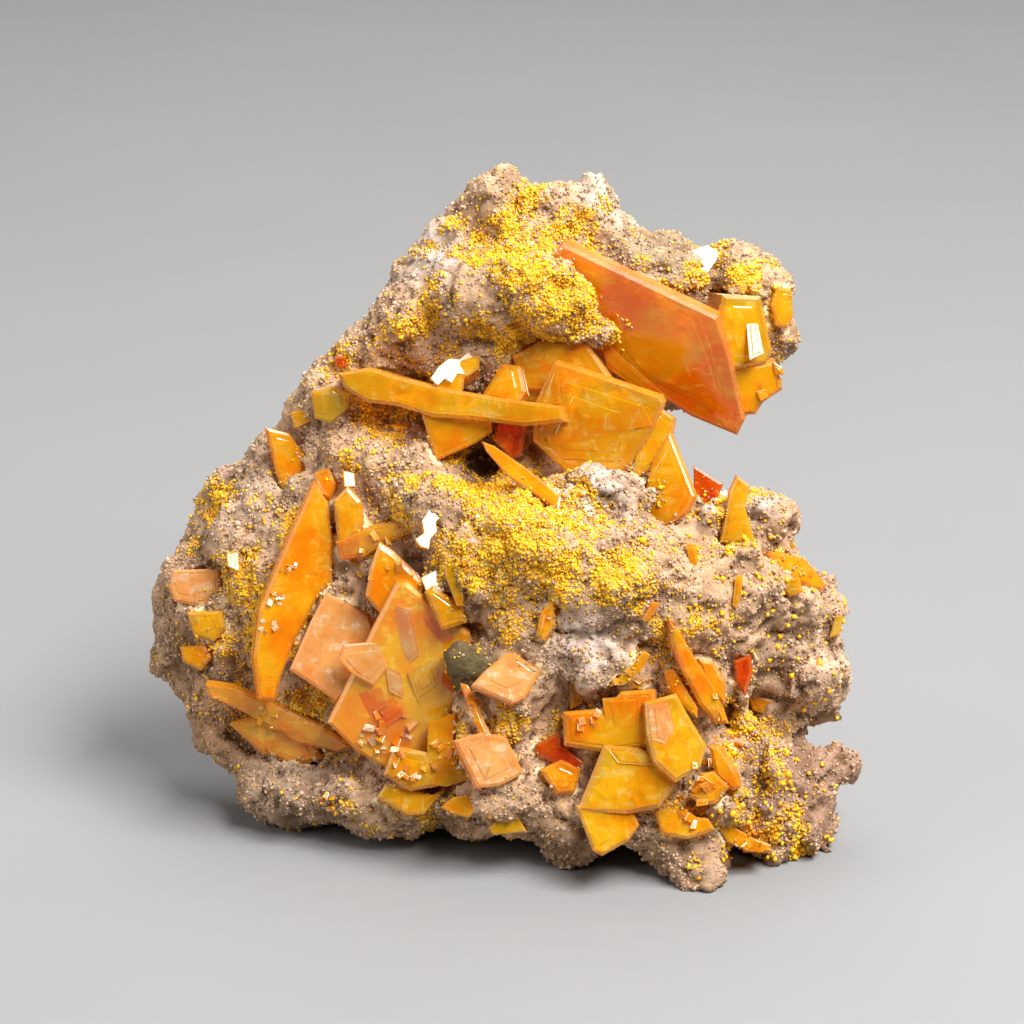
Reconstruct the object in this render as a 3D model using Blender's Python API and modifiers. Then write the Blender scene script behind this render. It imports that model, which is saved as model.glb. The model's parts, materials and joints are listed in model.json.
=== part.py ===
"""Wulfenite specimen: thin orange tabular crystals that stand in a knobbly matrix.

Everything is drawn in millimetres in the face frame: u runs to the right, v runs up the face, and w comes
out of it, towards someone who looks straight at the face. An outline holds the corners as they are seen from
EYE_DISTANCE in front of the face, so a corner nearer the eye is drawn a little smaller than it looks.
The specimen leans back by LEAN on its feet, and is cut flat where the feet meet what it stands on.
"""

import math
from typing import NamedTuple

import bmesh
import bpy
import numpy as np
from mathutils import Matrix, Vector

MM = 0.001
LEAN = math.radians(20.0)
EYE_DISTANCE = 500.0
EYE_U = 0.62
EYE_V = 33.7

SOCKET_GAP = 0.3  # between a crystal and the rock that holds it
RIM_SHARE = 0.28  # of a crystal's thickness, taken off its rims by the chamfer
THICKEST_RIM = 2.0  # a thicker crystal's rims are chamfered like those of one this thick
ROCK_VOXEL = 0.85
ROCK_KEEP = 0.125  # share of the rock's faces that the coarse surface keeps
KNOB = 1.5  # height of the rock's round knobs, which sit about KNOB_SIZE apart
KNOB_SIZE = 4.6
ROUGHNESS = 0.9  # height of the uneven ground between them
ROUGHNESS_SIZE = 2.6
FLOOR_BLOCK = 120.0


class Plate(NamedTuple):
    """One tabular crystal."""

    outline: tuple  # corners (u, v) of its front face, as seen
    depth: float  # w at the middle of the outline
    slope: tuple  # how much w grows for each millimetre to the right, and for each millimetre up
    thick: float


class Lump(NamedTuple):
    """One rounded mass of the rock, or one hollow in it: its centre, and its half sizes along u, v and w."""

    u: float
    v: float
    w: float
    half_u: float
    half_v: float
    half_w: float


ROCK = {
    "body": (
        Lump(-4, 27, -17, 23, 19, 11),
        Lump(0, 48, -15.5, 11, 12, 7),
        Lump(4, 20, -17, 20, 12, 10),
    ),
    "top lobes and spike": (
        Lump(-0.2, 60.3, -12.5, 4.2, 3.9, 4.6),
        Lump(-4.3, 57.3, -13.5, 3.3, 3.5, 4.8),
        Lump(4.6, 58.6, -12.5, 4.4, 4.0, 4.6),
        Lump(8.1, 60.8, -12.0, 2.1, 3.0, 2.4),
        Lump(8.1, 62.6, -12.0, 0.9, 1.6, 1.2),
    ),
    "arm": (
        Lump(11.5, 55.3, -12.5, 5.0, 3.9, 5.0),
        Lump(15.0, 54.3, -12.5, 4.2, 3.8, 4.6),
        Lump(19.6, 54.0, -13.0, 4.2, 3.8, 4.4),
        Lump(22.8, 52.8, -13.5, 2.9, 3.6, 3.8),
        Lump(23.9, 49.2, -13.0, 2.1, 2.6, 3.0),
        Lump(20.0, 49.0, -14.5, 4.6, 5.0, 4.0),
        Lump(13.0, 48.5, -15.5, 6.0, 5.5, 4.5),
        Lump(17.2, 45.2, -14.5, 3.0, 3.6, 3.0),
    ),
    "knob": (
        Lump(2.0, 53.4, -8.6, 6.4, 3.9, 6.2),
        Lump(-2.6, 53.0, -9.6, 4.4, 3.6, 5.2),
        Lump(5.6, 51.8, -7.8, 3.1, 2.9, 4.8),
        Lump(8.7, 49.6, -8.8, 1.7, 1.5, 3.2),
    ),
    "left slope": (
        Lump(-7.2, 54.0, -13.0, 2.9, 3.0, 4.2),
        Lump(-8.6, 50.2, -13.0, 3.9, 3.4, 4.8),
        Lump(-12.2, 47.5, -14.0, 3.3, 2.5, 4.2),
        Lump(-16.0, 45.4, -15.0, 2.2, 2.2, 3.4),
        Lump(-14.6, 42.4, -14.2, 4.6, 3.6, 4.6),
        Lump(-17.3, 41.2, -16.0, 2.2, 2.2, 3.6),
        Lump(-20.6, 37.8, -17.2, 2.9, 2.9, 4.2),
        Lump(-23.6, 34.6, -18.6, 3.4, 3.6, 4.6),
        Lump(-27.0, 30.4, -19.6, 2.4, 2.4, 3.8),
        Lump(-28.3, 26.0, -20.0, 2.8, 3.4, 4.4),
        Lump(-28.6, 21.4, -20.6, 2.6, 3.4, 4.4),
        Lump(-24.8, 24.0, -17.0, 4.4, 6.8, 4.8),
        Lump(-22.0, 31.0, -16.0, 4.8, 4.6, 5.2),
    ),
    "rock behind the left crystals": (
        Lump(-9.0, 37.6, -11.5, 5.8, 3.4, 5.6),
        Lump(-13.4, 38.2, -12.6, 3.8, 3.4, 4.8),
        Lump(-5.6, 34.2, -6.6, 4.4, 3.2, 6.0),
        Lump(-18.0, 24.0, -14.0, 5.0, 9.0, 5.8),
        Lump(-10.5, 18.5, -11.5, 6.5, 7.0, 6.2),
        Lump(-16.0, 15.5, -14.0, 5.6, 4.8, 5.6),
        Lump(-11.4, 31.0, -12.4, 4.8, 4.5, 5.5),
    ),
    "central hump": (
        Lump(3.0, 30.0, -5.2, 7.6, 5.8, 8.0),
        Lump(9.5, 27.4, -4.4, 7.6, 6.2, 8.2),
        Lump(15.5, 25.2, -5.4, 6.4, 5.6, 7.4),
        Lump(8.4, 34.3, -6.4, 6.0, 3.5, 6.4),
        Lump(-2.4, 28.6, -6.4, 5.0, 5.0, 7.4),
        Lump(3.0, 22.4, -4.6, 4.8, 4.0, 6.2),
        Lump(8.4, 20.6, -4.2, 4.2, 3.6, 6.0),
        Lump(-3.8, 20.4, -4.4, 1.9, 1.8, 4.4),
        Lump(14.5, 31.0, -6.4, 3.6, 2.0, 5.6),
        Lump(0.4, 18.4, -5.2, 4.2, 3.6, 6.0),
        Lump(-1.6, 13.4, -6.2, 4.4, 4.2, 6.2),
        Lump(15.4, 19.0, -6.6, 4.6, 4.6, 6.8),
    ),
    "right lobes": (
        Lump(17.4, 33.4, -8.2, 3.2, 2.3, 5.4),
        Lump(22.0, 33.0, -9.4, 3.6, 2.6, 5.4),
        Lump(24.9, 32.6, -10.2, 1.7, 1.5, 3.2),
        Lump(20.6, 27.4, -6.4, 4.8, 4.4, 6.4),
        Lump(24.6, 25.6, -9.2, 4.2, 4.2, 6.0),
        Lump(27.6, 24.6, -12.0, 2.6, 2.3, 4.2),
        Lump(26.0, 20.2, -10.2, 4.2, 3.8, 5.8),
        Lump(29.0, 18.3, -12.2, 2.2, 1.4, 3.0),
        Lump(27.0, 16.6, -12.0, 3.2, 1.5, 4.0),
        Lump(22.8, 15.0, -12.0, 3.9, 3.4, 5.0),
        Lump(20.0, 21.2, -7.4, 3.8, 4.2, 5.8),
        Lump(27.0, 27.4, -11.4, 1.8, 1.6, 3.2),
    ),
    "lower right block": (
        Lump(26.0, 9.4, -10.4, 3.2, 4.2, 5.4),
        Lump(28.6, 11.9, -11.4, 2.5, 1.3, 3.2),
        Lump(27.0, 6.6, -11.0, 2.2, 3.8, 4.6),
        Lump(22.4, 10.6, -8.2, 3.2, 4.6, 5.4),
        Lump(24.0, 5.2, -8.4, 3.2, 2.8, 4.6),
    ),
    "front foot": (
        Lump(16.0, 3.6, -4.0, 3.2, 3.2, 4.4),
        Lump(17.4, 1.5, -3.4, 2.3, 2.2, 3.6),
        Lump(12.6, 7.0, -4.6, 4.2, 3.2, 5.4),
        Lump(18.6, 8.4, -5.0, 3.8, 3.8, 5.2),
        Lump(11.0, 13.5, -6.6, 8.0, 6.0, 6.2),
    ),
    "lower left rock": (
        Lump(6.4, 6.1, -6.0, 3.4, 3.8, 6.0),
        Lump(1.2, 8.6, -7.0, 4.8, 3.4, 7.0),
        Lump(-3.2, 7.9, -8.2, 3.6, 2.8, 7.0),
        Lump(4.2, 11.4, -5.0, 3.0, 3.0, 3.4),
        Lump(-9.6, 8.2, -12.0, 4.6, 3.2, 8.0),
        Lump(-14.0, 8.6, -13.0, 4.0, 2.8, 7.2),
        Lump(-18.4, 9.2, -15.0, 4.0, 3.4, 7.0),
        Lump(-21.2, 9.2, -16.0, 2.2, 3.2, 6.0),
        Lump(-23.8, 14.0, -18.0, 3.2, 3.4, 5.0),
        Lump(-26.3, 16.2, -18.6, 1.9, 3.0, 4.2),
    ),
    "back and back feet": (
        Lump(-9.0, 17.0, -24.0, 8.0, 8.0, 6.5),
        Lump(9.0, 16.0, -24.0, 8.0, 7.6, 6.5),
        Lump(1.0, 22.0, -25.0, 9.0, 9.0, 6.5),
        Lump(-12.0, 34.0, -23.0, 7.0, 6.0, 5.0),
        Lump(6.0, 36.0, -22.0, 8.0, 7.0, 5.0),
        Lump(17.0, 26.0, -19.0, 7.0, 7.0, 6.0),
    ),
}

HOLLOWS = (
    Lump(-2.2, 38.2, -5.0, 2.7, 1.9, 8.0),  # cave under the long blade
    Lump(3.0, 46.6, -4.0, 6.2, 2.4, 5.5),  # recess under the knob
    Lump(22.6, 18.2, -1.6, 1.9, 1.5, 4.0),
    Lump(30.4, 14.3, -9.0, 4.4, 0.7, 9.0),  # notch in the right edge
    Lump(-18.6, 34.9, -11.4, 1.6, 1.0, 3.0),
    Lump(4.6, 17.6, -0.4, 1.0, 0.8, 2.6),
)

CRYSTALS = {
    "upper_right_blade": (
        Plate(
            (
                (5.1, 57.4), (18.8, 50.9), (19.9, 47.6), (21.2, 41.8), (20.5, 40.4), (16.4, 42.1),
                (14.0, 43.7), (9.5, 46.3), (6.5, 50.0), (3.7, 55.5),
            ),
            -8.0, (0.2, 0.45), 1.75,
        ),
        Plate(
            ((19.3, 52.9), (22.7, 52.8), (23.7, 48.0), (23.2, 46.8), (19.9, 46.2), (18.9, 49.5)),
            -7.6, (-0.3, 0.1), 4.2,
        ),
        Plate(
            ((19.9, 46.4), (24.0, 47.0), (24.6, 44.5), (22.9, 43.4), (22.2, 42.3), (20.6, 42.2)),
            -9.0, (-0.1, 0.2), 2.0,
        ),
    ),
    "right_edge_plate": (
        Plate(
            ((24.2, 53.6), (25.4, 53.5), (25.6, 51.0), (25.1, 50.0), (24.1, 50.2), (23.6, 52.0)),
            -9.6, (-0.3, 0.0), 1.6,
        ),
    ),
    "centre_blades": (
        Plate(
            (
                (-14.9, 46.0), (-12.1, 46.5), (-9.6, 45.7), (-5.2, 44.6), (0.2, 43.7), (5.0, 43.1),
                (5.3, 41.7), (1.6, 41.3), (-2.9, 41.9), (-6.4, 42.1), (-9.6, 43.1), (-12.3, 43.4),
                (-14.3, 44.7),
            ),
            -5.4, (0.2, 0.0), 7.0,
        ),
        Plate(
            (
                (4.4, 47.0), (9.0, 45.5), (13.7, 43.9), (14.0, 43.3), (13.2, 41.3), (11.6, 38.6),
                (10.2, 36.8), (5.5, 37.0), (2.4, 40.0), (2.6, 43.3),
            ),
            -4.3, (0.3, 0.2), 1.4,
        ),
        Plate(
            ((13.5, 43.0), (14.9, 42.0), (14.7, 40.6), (13.2, 37.6), (11.2, 36.6), (11.6, 39.4)),
            -3.6, (0.3, 0.0), 1.2,
        ),
        Plate(
            (
                (14.5, 40.7), (16.7, 35.1), (15.9, 33.6), (13.5, 31.8), (11.0, 32.4), (12.4, 35.6),
                (13.0, 38.4),
            ),
            -2.8, (0.4, 0.0), 1.2,
        ),
        Plate(
            ((0.6, 47.4), (3.0, 48.8), (7.0, 49.0), (9.6, 45.2), (6.0, 44.0), (1.6, 44.4)),
            -7.6, (0.1, 0.1), 2.2,
        ),
        Plate(((-2.4, 43.6), (-0.3, 46.9), (1.3, 46.7), (1.8, 44.4), (0.8, 43.0)), -6.2, (0.2, -0.2), 2.6),
        Plate(
            (
                (-6.5, 44.0), (-6.3, 45.3), (-4.5, 47.0), (-2.3, 47.6), (-2.3, 46.4), (-3.6, 45.6),
                (-4.0, 43.8),
            ),
            -6.6, (0.0, -0.3), 2.6,
        ),
        Plate(
            ((-7.5, 42.7), (-6.1, 38.2), (-2.7, 39.7), (-1.1, 40.8), (-1.4, 42.4)),
            -6.4, (0.0, 0.1), 1.1,
        ),
        Plate(((-1.1, 40.1), (-0.5, 42.2), (2.1, 42.0), (1.3, 38.6), (0.5, 38.5)), -6.8, (0.1, 0.0), 1.6),
    ),
    "splinter": (
        Plate(
            (
                (-2.1, 40.0), (-1.0, 39.6), (2.0, 37.5), (4.9, 35.1), (4.7, 33.9), (2.6, 35.3),
                (0.2, 36.9), (-1.7, 39.1),
            ),
            -2.4, (0.35, -0.35), 1.0,
        ),
    ),
    "left_ridge_plate": (
        Plate(
            (
                (-21.1, 41.1), (-19.0, 40.6), (-16.9, 37.4), (-17.2, 35.0), (-19.6, 35.6), (-20.1, 36.9),
                (-20.9, 40.3),
            ),
            -11.6, (-0.25, 0.1), 1.3,
        ),
    ),
    "left_red_plate": (
        Plate(
            ((-16.9, 37.2), (-15.6, 37.6), (-15.0, 36.2), (-15.5, 34.8), (-16.9, 35.4)),
            -8.5, (0.1, 0.0), 1.5,
        ),
    ),
    "tall_blade": (
        Plate(
            (
                (-16.8, 36.4), (-15.6, 34.5), (-15.2, 31.0), (-15.3, 27.6), (-16.6, 26.0), (-18.7, 22.0),
                (-19.8, 19.0), (-20.3, 17.0), (-21.7, 17.1), (-22.2, 20.8), (-21.7, 25.0), (-20.3, 28.4),
                (-18.4, 32.8),
            ),
            -6.6, (-0.25, 0.05), 1.8,
        ),
    ),
    "roof_plates": (
        Plate(
            (
                (-9.6, 27.4), (-8.7, 27.4), (-3.1, 22.9), (-3.0, 21.6), (-4.2, 17.2), (-6.5, 12.5),
                (-10.5, 10.9), (-13.2, 12.5), (-15.7, 15.0), (-13.8, 18.8), (-11.7, 23.3),
            ),
            -3.9, (0.0, 0.25), 2.0,
        ),
        Plate(
            (
                (-15.8, 26.6), (-12.0, 24.6), (-11.0, 21.0), (-13.0, 18.4), (-14.9, 17.0), (-16.9, 18.4),
                (-19.0, 19.8), (-17.1, 24.2),
            ),
            -5.6, (-0.1, -0.1), 1.5,
        ),
        Plate(
            (
                (-11.2, 30.9), (-9.9, 30.0), (-7.4, 27.6), (-7.0, 25.8), (-11.0, 24.6), (-12.4, 26.2),
                (-12.0, 28.6),
            ),
            -3.4, (0.1, 0.1), 2.0,
        ),
        Plate(((-9.9, 13.0), (-6.9, 12.4), (-6.0, 9.4), (-8.4, 9.0), (-10.8, 10.4)), -2.8, (0.1, 0.0), 3.6),
        Plate(
            (
                (-7.0, 9.6), (-5.2, 9.4), (-3.2, 10.0), (-3.0, 11.2), (-4.6, 13.6), (-4.4, 16.0),
                (-6.8, 15.0),
            ),
            -2.6, (0.1, 0.0), 3.0,
        ),
        Plate(
            ((-7.2, 26.6), (-6.4, 27.2), (-3.9, 25.4), (-3.5, 23.9), (-5.6, 23.2)),
            -1.2, (0.1, 0.0), 2.4,
        ),
    ),
    "lower_plate": (
        Plate(
            ((-11.3, 8.5), (-8.6, 6.9), (-7.2, 7.0), (-5.2, 9.3), (-6.4, 8.7), (-10.6, 9.6)),
            -3.7, (0.0, -0.15), 1.9,
        ),
    ),
    "thin_plates": (
        Plate(
            (
                (-15.0, 31.0), (-11.5, 32.4), (-8.2, 32.9), (-7.8, 31.9), (-10.5, 30.9), (-12.5, 29.6),
                (-14.6, 29.4),
            ),
            -5.6, (0.1, 0.3), 1.0,
        ),
        Plate(
            ((-15.2, 34.7), (-14.0, 35.9), (-12.8, 34.6), (-12.6, 32.6), (-13.6, 30.4), (-14.8, 30.6)),
            -5.9, (0.1, 0.1), 1.7,
        ),
    ),
    "square_plate": (
        Plate(
            ((-4.5, 13.5), (-2.1, 14.2), (0.1, 13.9), (1.7, 10.6), (-0.4, 9.5), (-2.4, 9.3)),
            0.6, (-0.22, -0.1), 1.6,
        ),
        Plate(
            ((-4.0, 18.6), (-3.3, 18.4), (-2.0, 15.5), (-1.2, 13.8), (-1.8, 13.3), (-2.9, 15.3)),
            0.0, (0.1, -0.15), 1.2,
        ),
    ),
    "pale_plate": (
        Plate(
            (
                (-3.0, 18.4), (-1.8, 19.7), (0.0, 21.2), (0.9, 21.3), (3.1, 19.7), (1.7, 17.3),
                (0.6, 16.8), (-1.5, 17.7),
            ),
            1.4, (0.0, -0.3), 1.5,
        ),
    ),
    "lower_left_blade": (
        Plate(
            (
                (-26.6, 18.5), (-24.3, 18.2), (-20.4, 16.6), (-15.4, 14.2), (-13.6, 12.9), (-14.8, 12.4),
                (-18.5, 13.2), (-22.5, 15.6), (-26.3, 17.4),
            ),
            -9.2, (0.25, 0.3), 1.4,
        ),
        Plate(
            ((-24.5, 14.9), (-21.5, 15.5), (-17.0, 13.4), (-16.2, 11.8), (-18.5, 11.2), (-22.0, 12.6)),
            -10.4, (0.2, 0.2), 1.8,
        ),
    ),
    "left_peach_plate": (
        Plate(
            ((-29.5, 28.6), (-25.3, 28.7), (-25.0, 26.0), (-26.2, 25.2), (-29.3, 25.8), (-29.8, 27.0)),
            -13.5, (0.15, -0.1), 1.4,
        ),
    ),
    "left_yellow_plate": (
        Plate(
            ((-28.2, 24.8), (-25.2, 24.9), (-24.8, 23.4), (-25.8, 22.2), (-27.6, 22.8)),
            -11.9, (0.15, 0.1), 1.3,
        ),
    ),
    "left_lower_plate": (
        Plate(
            ((-28.8, 21.7), (-26.6, 21.9), (-26.0, 20.8), (-27.0, 19.6), (-28.6, 20.4)),
            -13.2, (0.2, 0.1), 1.6,
        ),
    ),
    "right_cluster": (
        Plate(
            ((5.1, 16.0), (9.0, 16.3), (10.2, 17.8), (13.2, 18.0), (13.4, 13.0), (9.0, 12.4), (5.2, 13.0)),
            0.9, (0.1, 0.0), 2.4,
        ),
        Plate(
            (
                (12.4, 16.9), (15.2, 17.7), (16.2, 15.8), (17.9, 13.0), (17.3, 11.1), (15.1, 9.8),
                (13.2, 11.6), (12.6, 14.0),
            ),
            2.9, (-0.12, -0.12), 3.2,
        ),
        Plate(
            (
                (8.7, 13.1), (11.6, 12.9), (14.3, 11.9), (15.1, 9.6), (13.6, 7.6), (10.8, 7.0),
                (6.3, 7.2), (7.6, 10.4),
            ),
            1.9, (0.1, -0.1), 3.0,
        ),
        Plate(
            ((6.2, 7.8), (11.2, 7.6), (11.9, 6.0), (10.9, 4.6), (8.6, 3.3), (7.8, 3.7)),
            1.8, (0.0, -0.1), 1.5,
        ),
    ),
    "leaning_blade": (
        Plate(
            (
                (14.6, 24.1), (15.6, 22.9), (17.1, 20.4), (19.0, 17.6), (19.9, 14.9), (18.8, 14.9),
                (17.3, 16.6), (15.8, 19.5), (14.8, 22.0),
            ),
            1.2, (-0.25, 0.15), 1.7,
        ),
        Plate(((17.0, 20.8), (18.4, 20.4), (19.4, 18.7), (19.4, 16.8), (18.2, 17.6)), 0.4, (0.1, 0.0), 1.6),
    ),
    "thin_lath": (
        Plate(
            ((14.0, 19.6), (14.9, 19.8), (17.0, 16.4), (17.0, 15.4), (16.0, 16.2), (14.4, 18.0)),
            0.5, (0.1, 0.1), 1.2,
        ),
    ),
    "yellow_lath": (
        Plate(
            (
                (9.3, 18.3), (10.0, 18.9), (11.5, 20.4), (12.3, 21.4), (12.9, 21.0), (12.0, 19.6),
                (10.6, 18.4),
            ),
            1.2, (-0.1, 0.1), 1.4,
        ),
    ),
    "dark_red_plate": (
        Plate(
            ((2.6, 13.1), (4.7, 14.1), (4.9, 13.0), (6.9, 11.6), (6.4, 10.8), (4.2, 11.6), (2.9, 12.2)),
            -0.8, (0.1, 0.0), 2.0,
        ),
        Plate(((3.2, 10.8), (5.0, 11.8), (6.8, 11.0), (6.2, 8.8), (4.6, 8.7)), -0.3, (-0.15, 0.0), 1.8),
    ),
    "right_foot_crystals": (
        Plate(
            ((16.4, 8.5), (17.4, 10.6), (18.5, 10.8), (19.9, 9.4), (18.7, 7.9), (17.6, 7.8)),
            0.6, (-0.1, -0.1), 1.9,
        ),
        Plate(
            ((18.0, 13.0), (18.9, 12.9), (20.5, 10.6), (20.9, 9.4), (20.2, 9.0), (18.6, 10.4)),
            0.2, (0.1, 0.1), 1.9,
        ),
    ),
    "foot_plate": (
        Plate(
            ((13.2, 7.2), (14.6, 7.6), (15.8, 6.9), (18.0, 6.6), (18.6, 5.6), (16.2, 4.8), (13.9, 5.2)),
            0.7, (0.0, -0.15), 1.7,
        ),
    ),
    "lower_right_lath": (
        Plate(
            (
                (18.9, 6.3), (20.0, 6.0), (22.2, 4.7), (23.6, 4.2), (23.4, 3.5), (21.5, 3.6), (19.7, 4.5),
                (19.0, 5.6),
            ),
            -2.2, (-0.2, 0.1), 1.8,
        ),
    ),
    "kite_plate": (
        Plate(
            (
                (20.55, 36.9), (21.7, 36.0), (21.3, 34.0), (22.1, 31.2), (21.9, 30.6), (19.1, 31.0),
                (19.5, 33.0), (19.9, 35.4),
            ),
            -3.0, (-0.1, 0.1), 1.3,
        ),
    ),
    "dark_fin": (
        Plate(
            ((16.65, 37.8), (18.2, 36.8), (19.2, 36.2), (18.4, 34.2), (16.7, 34.0)),
            -4.6, (0.2, 0.0), 1.0,
        ),
    ),
    "right_rim_blade": (
        Plate(
            (
                (23.6, 30.2), (24.9, 30.1), (26.8, 29.5), (28.7, 27.2), (28.2, 26.6), (26.0, 27.4),
                (24.0, 28.8),
            ),
            -4.6, (-0.9, 0.0), 2.0,
        ),
    ),
    "brown_plate": (
        Plate(
            ((20.2, 20.5), (21.7, 21.1), (21.9, 19.5), (21.2, 17.4), (20.5, 18.6)),
            -1.6, (0.1, 0.0), 1.6,
        ),
    ),
    "hump_plate": (
        Plate(((3.1, 24.9), (4.2, 25.9), (4.3, 23.8), (3.4, 22.4), (2.7, 22.8)), 1.9, (0.2, -0.2), 1.6),
    ),
}

MATERIALS = {
    "rock": ((0.46, 0.35, 0.29, 1.0), 0.9, 0.0),
    "orange": ((0.95, 0.38, 0.03, 1.0), 0.12, 0.8),
    "yellow": ((0.95, 0.62, 0.04, 1.0), 0.15, 0.8),
    "red": ((0.72, 0.13, 0.02, 1.0), 0.12, 0.8),
    "peach": ((0.98, 0.56, 0.24, 1.0), 0.15, 0.6),
}
YELLOW_CRYSTALS = {
    "right_edge_plate", "lower_plate", "left_yellow_plate", "left_lower_plate", "yellow_lath", "kite_plate",
    "hump_plate",
}
RED_CRYSTALS = {"dark_red_plate", "dark_fin", "brown_plate", "left_red_plate"}
PEACH_CRYSTALS = {"square_plate", "pale_plate", "left_peach_plate"}


def clear_scene():
    for thing in list(bpy.data.objects):
        bpy.data.objects.remove(thing, do_unlink=True)


def new_collection(name):
    collection = bpy.data.collections.new(name)
    bpy.context.scene.collection.children.link(collection)
    return collection


def face_point(u, v, w):
    """The place, in metres in the face frame, of a point seen at (u, v) that lies w in front of the face."""
    nearer = 1 - w / EYE_DISTANCE
    return Vector((EYE_U + (u - EYE_U) * nearer, -w, EYE_V + (v - EYE_V) * nearer)) * MM


def new_material(name):
    colour, roughness, transmission = MATERIALS[name]
    material = bpy.data.materials.new(name)
    material.use_nodes = True
    shader = material.node_tree.nodes["Principled BSDF"]
    shader.inputs["Base Color"].default_value = colour
    shader.inputs["Roughness"].default_value = roughness
    shader.inputs["Metallic"].default_value = 0.0
    shader.inputs["Transmission Weight"].default_value = transmission
    material.diffuse_color = colour
    return material


def new_object(name, bm, collection, parent):
    mesh = bpy.data.meshes.new(name)
    bm.to_mesh(mesh)
    bm.free()
    thing = bpy.data.objects.new(name, mesh)
    thing.parent = parent
    collection.objects.link(thing)
    return thing


def as_cutter(thing):
    thing.hide_render = True
    thing.display_type = "WIRE"
    return thing


def cut(thing, name, operation, other):
    """A Boolean against one object, or against every object of a collection."""
    modifier = thing.modifiers.new(name, "BOOLEAN")
    modifier.operation = operation
    modifier.solver = "EXACT"
    if isinstance(other, bpy.types.Collection):
        modifier.operand_type = "COLLECTION"
        modifier.collection = other
    else:
        modifier.object = other
    return modifier


def plate_bmesh(plate, grow=0.0):
    """The outline on its slope, extruded backwards by the thickness. A crystal's rims are chamfered.
    A socket is left square, and grown all round."""
    corners = np.array(plate.outline)
    depths = plate.depth + (corners - corners.mean(axis=0)) @ np.array(plate.slope)
    bm = bmesh.new()
    front = bm.faces.new([bm.verts.new(face_point(u, v, w)) for (u, v), w in zip(corners, depths)])
    front.normal_update()
    if front.normal.y > 0:
        front.normal_flip()
    inwards = front.normal * -plate.thick * MM
    made = bmesh.ops.extrude_face_region(bm, geom=[front])["geom"]
    back = [part for part in made if isinstance(part, bmesh.types.BMVert)]
    bmesh.ops.translate(bm, vec=inwards, verts=back)
    bmesh.ops.recalc_face_normals(bm, faces=bm.faces)
    if grow:
        bm.normal_update()
        moves = [vert.normal * vert.calc_shell_factor() * grow * MM for vert in bm.verts]
        for vert, move in zip(bm.verts, moves):
            vert.co += move
        return bm
    rims = {edge for face in front_and_back(bm, inwards) for edge in face.edges}
    chamfer = RIM_SHARE * min(plate.thick, THICKEST_RIM) * MM
    bmesh.ops.bevel(bm, geom=list(rims), offset=chamfer, segments=1, affect="EDGES", clamp_overlap=True)
    return bm


def front_and_back(bm, along):
    """The two broad faces, which look along the thickness."""
    along = along.normalized()
    return [face for face in bm.faces if abs(face.normal.dot(along)) > 0.999 and len(face.verts) > 3]


def lump_bmesh(lumps, subdivisions):
    bm = bmesh.new()
    for lump in lumps:
        size = Matrix.Diagonal((lump.half_u * MM, lump.half_w * MM, lump.half_v * MM, 1.0))
        where = Matrix.Translation(face_point(lump.u, lump.v, lump.w))
        bmesh.ops.create_icosphere(bm, subdivisions=subdivisions, radius=1.0, matrix=where @ size)
    return bm


def applied(thing):
    """Gives the object the mesh that its modifiers make, and takes the modifiers off."""
    graph = bpy.context.evaluated_depsgraph_get()
    mesh = bpy.data.meshes.new_from_object(thing.evaluated_get(graph))
    thing.modifiers.clear()
    thing.data = mesh
    return thing


def keep_largest_body(thing):
    """Deletes the crumbs that a cut leaves loose."""
    bm = bmesh.new()
    bm.from_mesh(thing.data)
    left = set(bm.verts)
    bodies = []
    while left:
        body, waiting = set(), [left.pop()]
        while waiting:
            vert = waiting.pop()
            body.add(vert)
            for edge in vert.link_edges:
                other = edge.other_vert(vert)
                if other in left:
                    left.remove(other)
                    waiting.append(other)
        bodies.append(body)
    bodies.sort(key=len)
    for body in bodies[:-1]:
        bmesh.ops.delete(bm, geom=list(body), context="VERTS")
    bm.to_mesh(thing.data)
    bm.free()


def raise_by(thing, texture, height):
    """Moves the surface out and in by a texture."""
    texture.intensity = 1.0
    bumps = thing.modifiers.new(texture.name, "DISPLACE")
    bumps.texture = texture
    bumps.texture_coords = "LOCAL"
    bumps.strength = height * MM
    bumps.mid_level = 0.5


def make_rock(collection, cutters, lean, sockets):
    """The matrix: its lumps melted together, roughened, and cut by the hollows, the sockets and the floor."""
    lumps = [lump for group in ROCK.values() for lump in group]
    rock = new_object("matrix", lump_bmesh(lumps, 3), collection, lean)
    remesh = rock.modifiers.new("melt together", "REMESH")
    remesh.mode = "VOXEL"
    remesh.voxel_size = ROCK_VOXEL * MM
    remesh.adaptivity = 0.0
    hollows = new_collection("hollows")
    for i, hollow in enumerate(HOLLOWS):
        as_cutter(new_object(f"hollow_{i}", lump_bmesh([hollow], 2), hollows, lean))
    cut(rock, "hollows", "DIFFERENCE", hollows)
    again = rock.modifiers.new("even faces", "REMESH")
    again.mode = "VOXEL"
    again.voxel_size = ROCK_VOXEL * MM
    knobs = bpy.data.textures.new("knobs", "VORONOI")
    knobs.noise_scale = KNOB_SIZE * MM
    raise_by(rock, knobs, -KNOB)
    clouds = bpy.data.textures.new("uneven", "CLOUDS")
    clouds.noise_scale = ROUGHNESS_SIZE * MM
    raise_by(rock, clouds, ROUGHNESS)
    coarse = rock.modifiers.new("coarse", "DECIMATE")
    coarse.ratio = ROCK_KEEP
    cut(rock, "sockets", "DIFFERENCE", sockets)
    bm = bmesh.new()
    bmesh.ops.create_cube(bm, size=FLOOR_BLOCK * MM, matrix=Matrix.Translation((0, 0, -FLOOR_BLOCK * MM / 2)))
    floor = as_cutter(new_object("floor", bm, cutters, None))
    cut(rock, "feet", "DIFFERENCE", floor)
    applied(rock)
    keep_largest_body(rock)
    return rock


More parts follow.
